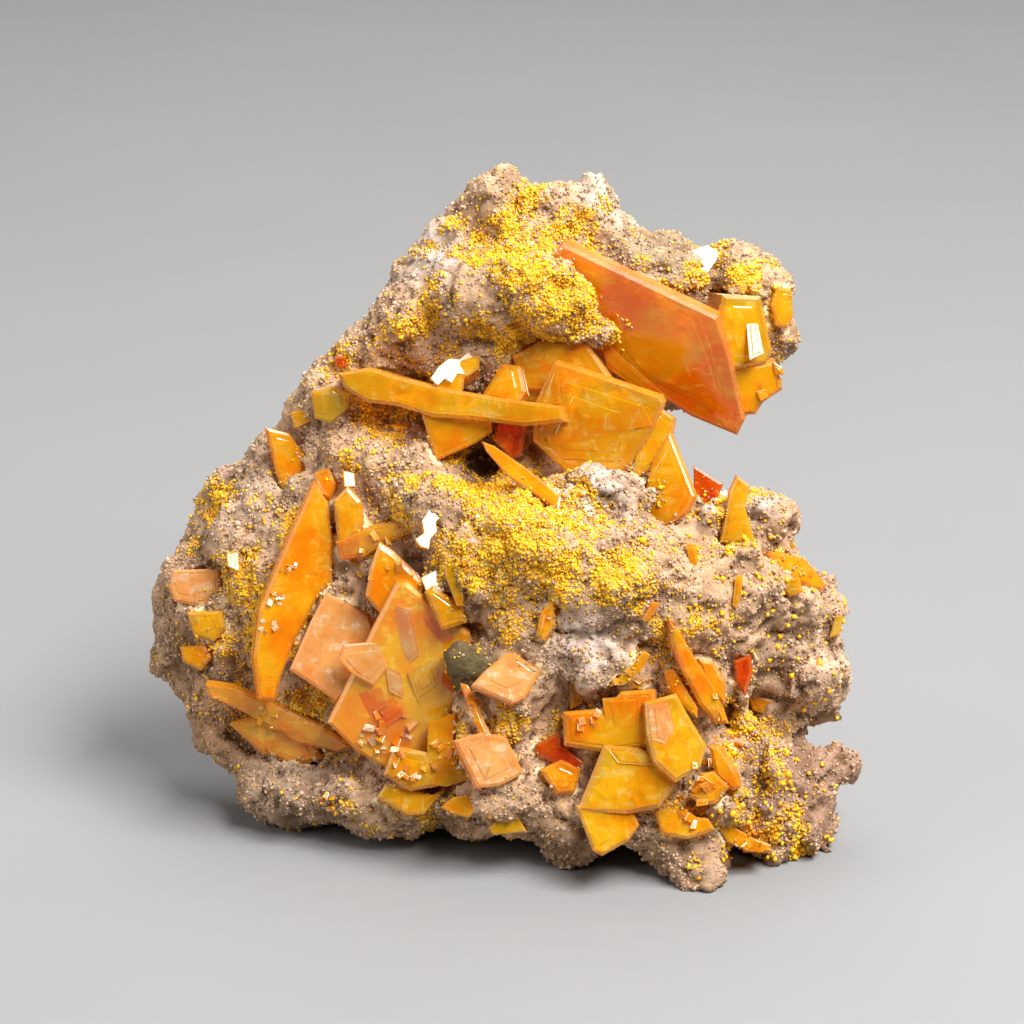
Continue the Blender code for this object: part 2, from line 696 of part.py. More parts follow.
def crystal_material(name, materials):
    if name in YELLOW_CRYSTALS:
        return materials["yellow"]
    if name in RED_CRYSTALS:
        return materials["red"]
    return materials["peach" if name in PEACH_CRYSTALS else "orange"]


def make_crystals(name, plates, collection, lean):
    """One crystal, or several that are grown together and so are one solid."""
    crystal = new_object(name, plate_bmesh(plates[0]), collection, lean)
    if len(plates) > 1:
        grown = new_collection(name + " grown on")
        for i, plate in enumerate(plates[1:]):
            as_cutter(new_object(f"{name}_with_{i}", plate_bmesh(plate), grown, lean))
        cut(crystal, "grown together", "UNION", grown)
    return crystal


def stand_on_origin(lean, things):
    """Moves the whole specimen so that the middle of its box is over the origin."""
    bpy.context.view_layer.update()
    graph = bpy.context.evaluated_depsgraph_get()
    points = []
    for thing in things:
        evaluated = thing.evaluated_get(graph)
        points += [evaluated.matrix_world @ vert.co for vert in evaluated.data.vertices]
    points = np.array(points)
    middle = (points.min(axis=0) + points.max(axis=0)) / 2
    lean.location = (-middle[0], -middle[1], 0)


def main():
    clear_scene()
    specimen = new_collection("wulfenite specimen")
    cutters = new_collection("cutters")
    sockets = new_collection("sockets")
    lean = bpy.data.objects.new("lean", None)
    lean.rotation_euler = (-LEAN, 0, 0)
    specimen.objects.link(lean)
    materials = {name: new_material(name) for name in MATERIALS}
    things = []
    for name, plates in CRYSTALS.items():
        crystal = make_crystals(name, plates, specimen, lean)
        crystal.data.materials.append(crystal_material(name, materials))
        things.append(crystal)
        for i, plate in enumerate(plates):
            as_cutter(new_object(f"socket_{name}_{i}", plate_bmesh(plate, SOCKET_GAP), sockets, lean))
    bpy.context.view_layer.update()
    rock = make_rock(specimen, cutters, lean, sockets)
    rock.data.materials.append(materials["rock"])
    things.append(rock)
    stand_on_origin(lean, things)


if __name__ == "__main__":
    main()
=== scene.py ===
"""The looks of the wulfenite specimen: rock with a fine druse, dusted with yellow grains, and clear crystals.

Shapes are drawn in millimetres in the face frame: u to the right, v up the face, w out of it. An outline
holds corners as they are seen from the eye, which looks straight at the face. The face leans back.
"""

import json
import math
from typing import NamedTuple

import bmesh
import bpy
import numpy as np
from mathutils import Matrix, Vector
from mathutils.bvhtree import BVHTree


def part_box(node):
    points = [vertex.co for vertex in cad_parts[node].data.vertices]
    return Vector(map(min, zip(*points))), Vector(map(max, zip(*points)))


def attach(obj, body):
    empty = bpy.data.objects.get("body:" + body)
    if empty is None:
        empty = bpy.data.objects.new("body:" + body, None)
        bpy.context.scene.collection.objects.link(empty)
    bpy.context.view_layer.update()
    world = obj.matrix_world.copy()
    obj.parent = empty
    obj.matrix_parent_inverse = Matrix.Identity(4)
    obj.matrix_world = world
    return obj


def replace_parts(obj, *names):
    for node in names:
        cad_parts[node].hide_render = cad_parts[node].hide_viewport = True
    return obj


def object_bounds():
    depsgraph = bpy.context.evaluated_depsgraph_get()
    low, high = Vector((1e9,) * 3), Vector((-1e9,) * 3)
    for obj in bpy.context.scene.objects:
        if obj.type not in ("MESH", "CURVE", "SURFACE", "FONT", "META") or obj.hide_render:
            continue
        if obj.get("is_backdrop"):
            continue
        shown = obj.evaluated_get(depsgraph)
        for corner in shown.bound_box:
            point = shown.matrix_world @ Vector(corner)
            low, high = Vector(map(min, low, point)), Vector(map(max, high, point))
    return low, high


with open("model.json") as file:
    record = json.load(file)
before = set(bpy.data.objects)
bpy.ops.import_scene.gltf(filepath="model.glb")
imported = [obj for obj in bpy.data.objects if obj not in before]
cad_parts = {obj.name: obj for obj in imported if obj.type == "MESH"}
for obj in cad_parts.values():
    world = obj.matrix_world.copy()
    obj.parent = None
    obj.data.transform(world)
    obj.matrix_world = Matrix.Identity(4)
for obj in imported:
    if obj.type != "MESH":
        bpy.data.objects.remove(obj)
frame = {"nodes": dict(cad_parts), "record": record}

bl_info = {
    "name": "Wulfenite specimen",
    "version": (1, 0, 0),
    "blender": (4, 5, 0),
    "location": "View3D > Sidebar > Specimen",
    "description": "Builds the looks of a wulfenite specimen on its solids",
    "category": "Object",
}

CAD_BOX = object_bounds()
MM = 0.001
OUT_OF_REACH = 99.0
LEAN = math.radians(20.0)
EYE_DISTANCE = 500.0
VIEW_MIDDLE = np.array([0.62, 33.7])  # the (u, v) that the eye looks at
VIEW_WIDTH = 90.6  # millimetres across the face that the view takes in
SENSOR_WIDTH = 36.0
BODY = "root"
ROCK_COLOUR = (0.49, 0.295, 0.165)
RIM_SHARE = 0.16  # a crystal's chamfer as a share of its thickness
THICKEST_RIM = 2.0  # the thickness past which the chamfer grows no more
FRONT_STEP = 0.06  # how far a crystal's flat front lies behind its plane
GROUND = 0.0  # nothing of the specimen reaches below this
FLOOR_GAP = 0.00002  # metres between the ground and the floor's sheet
DOME_REACH = 0.85  # where a druse dome ends, as a share of its grid's size
CRACK_CORNERS = 12
GOLDEN_COUNT = 230
JITTER = 0.24 * MM  # how far a grain may lie from the middle of its face
BURIED_DEPTH = -8.0  # the depth of a small crystal behind which there is no rock


class Plate(NamedTuple):
    """One tabular crystal."""

    outline: tuple  # corners (u, v) of its front face, as seen
    depth: float  # w at the middle of the outline, or how far it stands off the rock
    slope: tuple  # how much w grows for each millimetre to the right, and for each millimetre up
    thick: float
    look: str


class Look(NamedTuple):
    """How one kind of crystal looks."""

    colour: tuple  # where the crystal is clean
    zone: tuple  # in its paler growth zones
    cloud: tuple  # along its inner cracks and clouds
    speck: tuple  # specks and stains on it
    rim: tuple  # on its narrow side faces, lighter on most looks: a painted sheen along the edges
    through: tuple  # the colour that light keeps on its way through
    density: float  # how fast it takes that colour, for each metre
    clear: float  # share of the light that goes through the surface
    rough: float


class Patch(NamedTuple):
    """A round area of the face, fading at its edge."""

    u: float
    v: float
    radius: float
    amount: float


class Cluster(NamedTuple):
    """A round area of the face with many small crystals of a few looks."""

    u: float
    v: float
    radius: float
    count: int
    size: float
    looks: tuple


class Tint(NamedTuple):
    """A round area of the rock with a colour of its own."""

    u: float
    v: float
    radius: float
    colour: tuple


CRYSTALS = {
    "upper_right_blade": (
        Plate(
            (
                (5.1, 57.4), (18.8, 50.9), (19.9, 47.6), (21.2, 41.8), (20.5, 40.4), (16.4, 42.1),
                (14.0, 43.7), (9.5, 46.3), (6.5, 50.0), (3.7, 55.5),
            ),
            -8.0, (0.2, 0.45), 1.75, "deep",
        ),
        Plate(
            ((19.3, 52.9), (22.7, 52.8), (23.7, 48.0), (23.2, 46.8), (19.9, 46.2), (18.9, 49.5)),
            -7.6, (-0.3, 0.1), 4.2, "amber",
        ),
        Plate(
            ((19.9, 46.4), (24.0, 47.0), (24.6, 44.5), (22.9, 43.4), (22.2, 42.3), (20.6, 42.2)),
            -9.0, (-0.1, 0.2), 2.0, "orange",
        ),
    ),
    "right_edge_plate": (
        Plate(
            ((24.2, 53.6), (25.4, 53.5), (25.6, 51.0), (25.1, 50.0), (24.1, 50.2), (23.6, 52.0)),
            -9.6, (-0.3, 0.0), 1.6, "yellow",
        ),
    ),
    "centre_blades": (
        Plate(
            (
                (-14.9, 46.0), (-12.1, 46.5), (-9.6, 45.7), (-5.2, 44.6), (0.2, 43.7), (5.0, 43.1),
                (5.3, 41.7), (1.6, 41.3), (-2.9, 41.9), (-6.4, 42.1), (-9.6, 43.1), (-12.3, 43.4),
                (-14.3, 44.7),
            ),
            -5.4, (0.2, 0.0), 7.0, "amber",
        ),
        Plate(
            (
                (4.4, 47.0), (9.0, 45.5), (13.7, 43.9), (14.0, 43.3), (13.2, 41.3), (11.6, 38.6),
                (10.2, 36.8), (5.5, 37.0), (2.4, 40.0), (2.6, 43.3),
            ),
            -4.3, (0.3, 0.2), 1.4, "amber",
        ),
        Plate(
            ((13.5, 43.0), (14.9, 42.0), (14.7, 40.6), (13.2, 37.6), (11.2, 36.6), (11.6, 39.4)),
            -3.6, (0.3, 0.0), 1.2, "amber",
        ),
        Plate(
            (
                (14.5, 40.7), (16.7, 35.1), (15.9, 33.6), (13.5, 31.8), (11.0, 32.4), (12.4, 35.6),
                (13.0, 38.4),
            ),
            -2.8, (0.4, 0.0), 1.2, "orange",
        ),
        Plate(
            ((0.6, 47.4), (3.0, 48.8), (7.0, 49.0), (9.6, 45.2), (6.0, 44.0), (1.6, 44.4)),
            -7.6, (0.1, 0.1), 2.2, "orange",
        ),
        Plate(
            ((-2.4, 43.6), (-0.3, 46.9), (1.3, 46.7), (1.8, 44.4), (0.8, 43.0)),
            -6.2, (0.2, -0.2), 2.6, "orange",
        ),
        Plate(
            (
                (-6.5, 44.0), (-6.3, 45.3), (-4.5, 47.0), (-2.3, 47.6), (-2.3, 46.4), (-3.6, 45.6),
                (-4.0, 43.8),
            ),
            -6.6, (0.0, -0.3), 2.6, "amber",
        ),
        Plate(
            ((-7.5, 42.7), (-6.1, 38.2), (-2.7, 39.7), (-1.1, 40.8), (-1.4, 42.4)),
            -6.4, (0.0, 0.1), 1.1, "orange",
        ),
        Plate(
            ((-1.1, 40.1), (-0.5, 42.2), (2.1, 42.0), (1.3, 38.6), (0.5, 38.5)),
            -6.8, (0.1, 0.0), 1.6, "red",
        ),
    ),
    "splinter": (
        Plate(
            (
                (-2.1, 40.0), (-1.0, 39.6), (2.0, 37.5), (4.9, 35.1), (4.7, 33.9), (2.6, 35.3),
                (0.2, 36.9), (-1.7, 39.1),
            ),
            -2.4, (0.35, -0.35), 1.0, "orange",
        ),
    ),
    "left_ridge_plate": (
        Plate(
            (
                (-21.1, 41.1), (-19.0, 40.6), (-16.9, 37.4), (-17.2, 35.0), (-19.6, 35.6), (-20.1, 36.9),
                (-20.9, 40.3),
            ),
            -11.6, (-0.25, 0.1), 1.3, "orange",
        ),
    ),
    "left_red_plate": (
        Plate(
            ((-16.9, 37.2), (-15.6, 37.6), (-15.0, 36.2), (-15.5, 34.8), (-16.9, 35.4)),
            -8.5, (0.1, 0.0), 1.5, "orange",
        ),
    ),
    "tall_blade": (
        Plate(
            (
                (-16.8, 36.4), (-15.6, 34.5), (-15.2, 31.0), (-15.3, 27.6), (-16.6, 26.0), (-18.7, 22.0),
                (-19.8, 19.0), (-20.3, 17.0), (-21.7, 17.1), (-22.2, 20.8), (-21.7, 25.0), (-20.3, 28.4),
                (-18.4, 32.8),
            ),
            -6.6, (-0.25, 0.05), 1.8, "orange",
        ),
    ),
    "roof_plates": (
        Plate(
            (
                (-9.6, 27.4), (-8.7, 27.4), (-3.1, 22.9), (-3.0, 21.6), (-4.2, 17.2), (-6.5, 12.5),
                (-10.5, 10.9), (-13.2, 12.5), (-15.7, 15.0), (-13.8, 18.8), (-11.7, 23.3),
            ),
            -3.9, (0.0, 0.25), 2.0, "vivid",
        ),
        Plate(
            (
                (-15.8, 26.6), (-12.0, 24.6), (-11.0, 21.0), (-13.0, 18.4), (-14.9, 17.0), (-16.9, 18.4),
                (-19.0, 19.8), (-17.1, 24.2),
            ),
            -5.6, (-0.1, -0.1), 1.5, "peach",
        ),
        Plate(
            (
                (-11.2, 30.9), (-9.9, 30.0), (-7.4, 27.6), (-7.0, 25.8), (-11.0, 24.6), (-12.4, 26.2),
                (-12.0, 28.6),
            ),
            -3.4, (0.1, 0.1), 2.0, "vivid",
        ),
        Plate(
            ((-9.9, 13.0), (-6.9, 12.4), (-6.0, 9.4), (-8.4, 9.0), (-10.8, 10.4)),
            -2.8, (0.1, 0.0), 3.6, "amber",
        ),
        Plate(
            (
                (-7.0, 9.6), (-5.2, 9.4), (-3.2, 10.0), (-3.0, 11.2), (-4.6, 13.6), (-4.4, 16.0),
                (-6.8, 15.0),
            ),
            -2.6, (0.1, 0.0), 3.0, "orange",
        ),
        Plate(
            ((-7.2, 26.6), (-6.4, 27.2), (-3.9, 25.4), (-3.5, 23.9), (-5.6, 23.2)),
            -1.2, (0.1, 0.0), 2.4, "amber",
        ),
    ),
    "lower_plate": (
        Plate(
            ((-11.3, 8.5), (-8.6, 6.9), (-7.2, 7.0), (-5.2, 9.3), (-6.4, 8.7), (-10.6, 9.6)),
            -3.7, (0.0, -0.15), 1.9, "yellow",
        ),
    ),
    "thin_plates": (
        Plate(
            (
                (-15.0, 31.0), (-11.5, 32.4), (-8.2, 32.9), (-7.8, 31.9), (-10.5, 30.9), (-12.5, 29.6),
                (-14.6, 29.4),
            ),
            -5.6, (0.1, 0.3), 1.0, "orange",
        ),
        Plate(
            ((-15.2, 34.7), (-14.0, 35.9), (-12.8, 34.6), (-12.6, 32.6), (-13.6, 30.4), (-14.8, 30.6)),
            -5.9, (0.1, 0.1), 1.7, "amber",
        ),
    ),
    "square_plate": (
        Plate(
            ((-4.5, 13.5), (-2.1, 14.2), (0.1, 13.9), (1.7, 10.6), (-0.4, 9.5), (-2.4, 9.3)),
            0.6, (-0.22, -0.1), 1.6, "peach",
        ),
        Plate(
            ((-4.0, 18.6), (-3.3, 18.4), (-2.0, 15.5), (-1.2, 13.8), (-1.8, 13.3), (-2.9, 15.3)),
            0.0, (0.1, -0.15), 1.2, "orange",
        ),
    ),
    "pale_plate": (
        Plate(
            (
                (-3.0, 18.4), (-1.8, 19.7), (0.0, 21.2), (0.9, 21.3), (3.1, 19.7), (1.7, 17.3),
                (0.6, 16.8), (-1.5, 17.7),
            ),
            1.4, (0.0, -0.3), 1.5, "peach",
        ),
    ),
    "lower_left_blade": (
        Plate(
            (
                (-26.6, 18.5), (-24.3, 18.2), (-20.4, 16.6), (-15.4, 14.2), (-13.6, 12.9), (-14.8, 12.4),
                (-18.5, 13.2), (-22.5, 15.6), (-26.3, 17.4),
            ),
            -9.2, (0.25, 0.3), 1.4, "orange",
        ),
        Plate(
            ((-24.5, 14.9), (-21.5, 15.5), (-17.0, 13.4), (-16.2, 11.8), (-18.5, 11.2), (-22.0, 12.6)),
            -10.4, (0.2, 0.2), 1.8, "orange",
        ),
    ),
    "left_peach_plate": (
        Plate(
            ((-29.5, 28.6), (-25.3, 28.7), (-25.0, 26.0), (-26.2, 25.2), (-29.3, 25.8), (-29.8, 27.0)),
            -13.5, (0.15, -0.1), 1.4, "peach",
        ),
    ),
    "left_yellow_plate": (
        Plate(
            ((-28.2, 24.8), (-25.2, 24.9), (-24.8, 23.4), (-25.8, 22.2), (-27.6, 22.8)),
            -11.9, (0.15, 0.1), 1.3, "yellow",
        ),
    ),
    "left_lower_plate": (
        Plate(
            ((-28.8, 21.7), (-26.6, 21.9), (-26.0, 20.8), (-27.0, 19.6), (-28.6, 20.4)),
            -13.2, (0.2, 0.1), 1.6, "orange",
        ),
    ),
    "right_cluster": (
        Plate(
            ((5.1, 16.0), (9.0, 16.3), (10.2, 17.8), (13.2, 18.0), (13.4, 13.0), (9.0, 12.4), (5.2, 13.0)),
            0.9, (0.1, 0.0), 2.4, "orange",
        ),
        Plate(
            (
                (12.4, 16.9), (15.2, 17.7), (16.2, 15.8), (17.9, 13.0), (17.3, 11.1), (15.1, 9.8),
                (13.2, 11.6), (12.6, 14.0),
            ),
            2.9, (-0.12, -0.12), 3.2, "yellow",
        ),
        Plate(
            (
                (8.7, 13.1), (11.6, 12.9), (14.3, 11.9), (15.1, 9.6), (13.6, 7.6), (10.8, 7.0),
                (6.3, 7.2), (7.6, 10.4),
            ),
            1.9, (0.1, -0.1), 3.0, "amber",
        ),
        Plate(
            ((6.2, 7.8), (11.2, 7.6), (11.9, 6.0), (10.9, 4.6), (8.6, 3.3), (7.8, 3.7)),
            1.8, (0.0, -0.1), 1.5, "amber",
        ),
    ),
    "leaning_blade": (
        Plate(
            (
                (14.6, 24.1), (15.6, 22.9), (17.1, 20.4), (19.0, 17.6), (19.9, 14.9), (18.8, 14.9),
                (17.3, 16.6), (15.8, 19.5), (14.8, 22.0),
            ),
            1.2, (-0.25, 0.15), 1.7, "orange",
        ),
        Plate(
            ((17.0, 20.8), (18.4, 20.4), (19.4, 18.7), (19.4, 16.8), (18.2, 17.6)),
            0.4, (0.1, 0.0), 1.6, "orange",
        ),
    ),
    "thin_lath": (
        Plate(
            ((14.0, 19.6), (14.9, 19.8), (17.0, 16.4), (17.0, 15.4), (16.0, 16.2), (14.4, 18.0)),
            0.5, (0.1, 0.1), 1.2, "orange",
        ),
    ),
    "yellow_lath": (
        Plate(
            (
                (9.3, 18.3), (10.0, 18.9), (11.5, 20.4), (12.3, 21.4), (12.9, 21.0), (12.0, 19.6),
                (10.6, 18.4),
            ),
            1.2, (-0.1, 0.1), 1.4, "yellow",
        ),
    ),
    "dark_red_plate": (
        Plate(
            ((2.6, 13.1), (4.7, 14.1), (4.9, 13.0), (6.9, 11.6), (6.4, 10.8), (4.2, 11.6), (2.9, 12.2)),
            -0.8, (0.1, 0.0), 2.0, "red",
        ),
        Plate(
            ((3.2, 10.8), (5.0, 11.8), (6.8, 11.0), (6.2, 8.8), (4.6, 8.7)),
            -0.3, (-0.15, 0.0), 1.8, "orange",
        ),
    ),
    "right_foot_crystals": (
        Plate(
            ((16.4, 8.5), (17.4, 10.6), (18.5, 10.8), (19.9, 9.4), (18.7, 7.9), (17.6, 7.8)),
            0.6, (-0.1, -0.1), 1.9, "amber",
        ),
        Plate(
            ((18.0, 13.0), (18.9, 12.9), (20.5, 10.6), (20.9, 9.4), (20.2, 9.0), (18.6, 10.4)),
            0.2, (0.1, 0.1), 1.9, "orange",
        ),
    ),
    "foot_plate": (
        Plate(
            ((13.2, 7.2), (14.6, 7.6), (15.8, 6.9), (18.0, 6.6), (18.6, 5.6), (16.2, 4.8), (13.9, 5.2)),
            0.7, (0.0, -0.15), 1.7, "amber",
        ),
    ),
    "lower_right_lath": (
        Plate(
            (
                (18.9, 6.3), (20.0, 6.0), (22.2, 4.7), (23.6, 4.2), (23.4, 3.5), (21.5, 3.6), (19.7, 4.5),
                (19.0, 5.6),
            ),
            -2.2, (-0.2, 0.1), 1.8, "orange",
        ),
    ),
    "kite_plate": (
        Plate(
            (
                (20.55, 36.9), (21.7, 36.0), (21.3, 34.0), (22.1, 31.2), (21.9, 30.6), (19.1, 31.0),
                (19.5, 33.0), (19.9, 35.4),
            ),
            -3.0, (-0.1, 0.1), 1.3, "yellow",
        ),
    ),
    "dark_fin": (
        Plate(
            ((16.65, 37.8), (18.2, 36.8), (19.2, 36.2), (18.4, 34.2), (16.7, 34.0)),
            -4.6, (0.2, 0.0), 1.0, "red",
        ),
    ),
    "right_rim_blade": (
        Plate(
            (
                (23.6, 30.2), (24.9, 30.1), (26.8, 29.5), (28.7, 27.2), (28.2, 26.6), (26.0, 27.4),
                (24.0, 28.8),
            ),
            -4.6, (-0.9, 0.0), 2.0, "orange",
        ),
    ),
    "brown_plate": (
        Plate(
            ((20.2, 20.5), (21.7, 21.1), (21.9, 19.5), (21.2, 17.4), (20.5, 18.6)),
            -1.6, (0.1, 0.0), 1.6, "red",
        ),
    ),
    "hump_plate": (
        Plate(
            ((3.1, 24.9), (4.2, 25.9), (4.3, 23.8), (3.4, 22.4), (2.7, 22.8)),
            1.9, (0.2, -0.2), 1.6, "yellow",
        ),
    ),
}

LOOKS = {
    "deep": Look(
        (0.98, 0.21, 0.002), (1.0, 0.38, 0.004), (1.0, 0.46, 0.03), (0.25, 0.03, 0.002), (1.0, 0.40, 0.08),
        (1.0, 0.50, 0.06), 140.0, 0.56, 0.06,
    ),
    "orange": Look(
        (1.0, 0.36, 0.003), (1.0, 0.50, 0.006), (1.0, 0.60, 0.06), (0.50, 0.08, 0.003), (1.0, 0.36, 0.03),
        (1.0, 0.55, 0.08), 120.0, 0.57, 0.05,
    ),
    "amber": Look(
        (1.0, 0.47, 0.004), (1.0, 0.57, 0.010), (1.0, 0.71, 0.14), (0.75, 0.20, 0.004), (1.0, 0.40, 0.04),
        (1.0, 0.66, 0.14), 100.0, 0.62, 0.04,
    ),
    "yellow": Look(
        (0.89, 0.39, 0.004), (0.92, 0.50, 0.010), (0.96, 0.70, 0.15), (0.80, 0.30, 0.006), (1.0, 0.50, 0.04),
        (1.0, 0.74, 0.14), 110.0, 0.58, 0.05,
    ),
    "red": Look(
        (0.78, 0.085, 0.002), (0.95, 0.18, 0.003), (1.0, 0.32, 0.02), (0.18, 0.02, 0.002), (1.0, 0.26, 0.02),
        (1.0, 0.34, 0.05), 260.0, 0.66, 0.06,
    ),
    "vivid": Look(
        (1.0, 0.33, 0.002), (1.0, 0.48, 0.004), (1.0, 0.66, 0.07), (0.60, 0.12, 0.004), (1.0, 0.42, 0.03),
        (1.0, 0.58, 0.06), 100.0, 0.42, 0.04,
    ),
    # a paler, greyer orange that also paints the peach sheen of a reflected light on these faces
    "peach": Look(
        (0.87, 0.39, 0.11), (0.89, 0.47, 0.14), (0.95, 0.70, 0.42), (0.85, 0.24, 0.02), (1.0, 0.36, 0.04),
        (1.0, 0.66, 0.22), 120.0, 0.52, 0.12,
    ),
    "olive": Look(
        (0.85, 0.46, 0.012), (0.95, 0.60, 0.03), (0.95, 0.75, 0.20), (0.40, 0.20, 0.01), (0.95, 0.50, 0.04),
        (0.9, 0.62, 0.12), 200.0, 0.66, 0.10,
    ),
    "white": Look(
        (1.0, 0.84, 0.55), (1.0, 0.90, 0.70), (1.0, 0.95, 0.88), (0.90, 0.50, 0.10), (1.0, 0.74, 0.34),
        (1.0, 0.90, 0.70), 60.0, 0.52, 0.06,
    ),
}

# inner cracks for each square millimetre of a plate
CRACKED = {
    "deep": 0.25,
    "orange": 1.2,
    "amber": 1.8,
    "yellow": 1.2,
    "red": 0.4,
    "vivid": 2.6,
    "peach": 0.8,
}

SMALL_CRYSTALS = (
    Plate(((17.6, 52.7), (18.3, 52.9), (18.6, 51.5), (17.7, 52.0)), 0.9, (0.0, 0.2), 0.8, "white"),
    Plate(((8.6, 48.6), (9.6, 48.0), (14.6, 43.6), (13.4, 43.4), (9.0, 46.4)), 1.9, (0.2, 0.45), 0.5, "deep"),
    Plate(((23.7, 47.0), (24.5, 46.5), (24.7, 45.8), (23.9, 45.9)), -0.5, (0.1, 0.1), 0.7, "yellow"),
    Plate(((1.8, 43.6), (1.6, 45.3), (3.4, 45.9), (3.9, 44.2), (3.3, 43.2)), 2.0, (0.0, 0.2), 0.8, "yellow"),
    Plate(
        ((-19.4, 40.0), (-17.0, 37.8), (-16.9, 36.6), (-18.0, 36.9), (-19.8, 39.0)),
        1.0, (0.1, 0.1), 0.8, "orange",
    ),
    Plate(
        ((-17.2, 44.3), (-15.2, 44.8), (-13.9, 44.0), (-14.0, 42.8), (-15.5, 41.5), (-16.9, 42.0)),
        0.7, (0.1, 0.1), 1.2, "olive",
    ),
    Plate(((-19.0, 42.5), (-17.3, 42.9), (-17.1, 41.8), (-18.6, 41.1)), 0.6, (0.1, 0.0), 0.9, "yellow"),
    Plate(((-15.1, 47.4), (-14.0, 47.4), (-14.0, 46.4), (-15.0, 46.5)), 0.6, (0.1, 0.1), 0.9, "red"),
    Plate(((-9.9, 15.4), (-9.2, 15.7), (-8.2, 14.2), (-8.9, 13.9)), 0.9, (0.1, -0.2), 0.6, "white"),
    Plate(((-8.0, 15.9), (-5.8, 15.4), (-5.9, 15.0), (-8.0, 15.4)), 0.9, (0.1, -0.2), 0.5, "peach"),
    Plate(((-5.7, 16.3), (-4.9, 17.1), (-4.1, 16.9), (-4.7, 15.6)), 0.9, (0.1, -0.2), 0.6, "peach"),
    Plate(
        ((-5.4, 30.0), (-4.7, 29.6), (-3.7, 26.2), (-3.8, 25.4), (-4.3, 25.4), (-5.3, 28.0)),
        0.8, (0.2, 0.0), 0.7, "yellow",
    ),
    Plate(
        ((-5.7, 7.6), (-4.6, 8.5), (-2.1, 8.8), (-2.4, 7.6), (-3.2, 6.7), (-4.4, 7.0)),
        0.8, (0.0, -0.2), 1.0, "yellow",
    ),
    Plate(((-1.5, 5.7), (-0.2, 6.8), (1.2, 6.6), (1.9, 5.4), (-1.0, 5.1)), 0.7, (0.0, 0.1), 0.9, "yellow"),
    Plate(((21.4, 17.6), (23.8, 17.0), (22.8, 15.8), (21.9, 16.2)), 0.7, (0.1, 0.1), 0.9, "orange"),
    Plate(((5.7, 18.6), (7.0, 18.8), (6.9, 16.8), (5.8, 16.2)), 0.7, (0.0, 0.1), 0.8, "yellow"),
    Plate(
        ((12.1, 24.2), (12.9, 25.7), (13.7, 25.6), (12.9, 24.3), (12.4, 23.9)),
        0.6, (0.1, 0.1), 0.6, "orange",
    ),
    Plate(
        ((20.4, 28.1), (21.0, 28.1), (20.9, 26.3), (20.5, 25.2), (20.1, 25.4)),
        0.6, (0.1, 0.0), 0.6, "yellow",
    ),
    Plate(((16.0, 31.0), (16.9, 30.8), (17.0, 28.5), (16.4, 28.3)), 0.6, (0.2, 0.0), 0.6, "yellow"),
    Plate(((24.3, 27.5), (26.0, 27.9), (26.3, 26.6), (25.2, 26.2)), 0.6, (0.1, 0.1), 0.8, "yellow"),
    Plate(((29.2, 24.5), (29.9, 24.6), (29.6, 22.8), (28.7, 22.6)), 0.6, (0.1, 0.0), 0.8, "yellow"),
    Plate(((-7.4, 27.9), (-6.1, 28.6), (-5.3, 26.8), (-6.7, 26.2)), 0.9, (-0.1, -0.3), 0.5, "white"),
    Plate(
        (
            (-6.7, 34.6), (-5.9, 34.9), (-5.3, 34.4), (-5.5, 33.4), (-6.1, 32.9), (-6.0, 32.0), (-6.6, 31.4),
            (-6.7, 30.5), (-7.4, 30.7), (-7.9, 31.3), (-7.1, 31.9), (-7.3, 33.0), (-6.8, 33.7),
        ),
        0.9, (-0.33, -0.49), 0.5, "yellow",
    ),
    Plate(((-10.3, 41.5), (-8.3, 41.6), (-8.4, 40.7), (-9.6, 40.9)), 0.9, (-0.33, -0.49), 0.5, "yellow"),
    Plate(((-14.3, 37.4), (-13.3, 37.2), (-13.2, 36.0), (-14.2, 36.0)), 0.9, (-0.33, -0.49), 0.5, "yellow"),
    Plate(((-24.6, 30.0), (-23.6, 30.2), (-23.5, 28.5), (-24.5, 29.0)), 0.8, (-0.33, -0.49), 0.5, "yellow"),
)

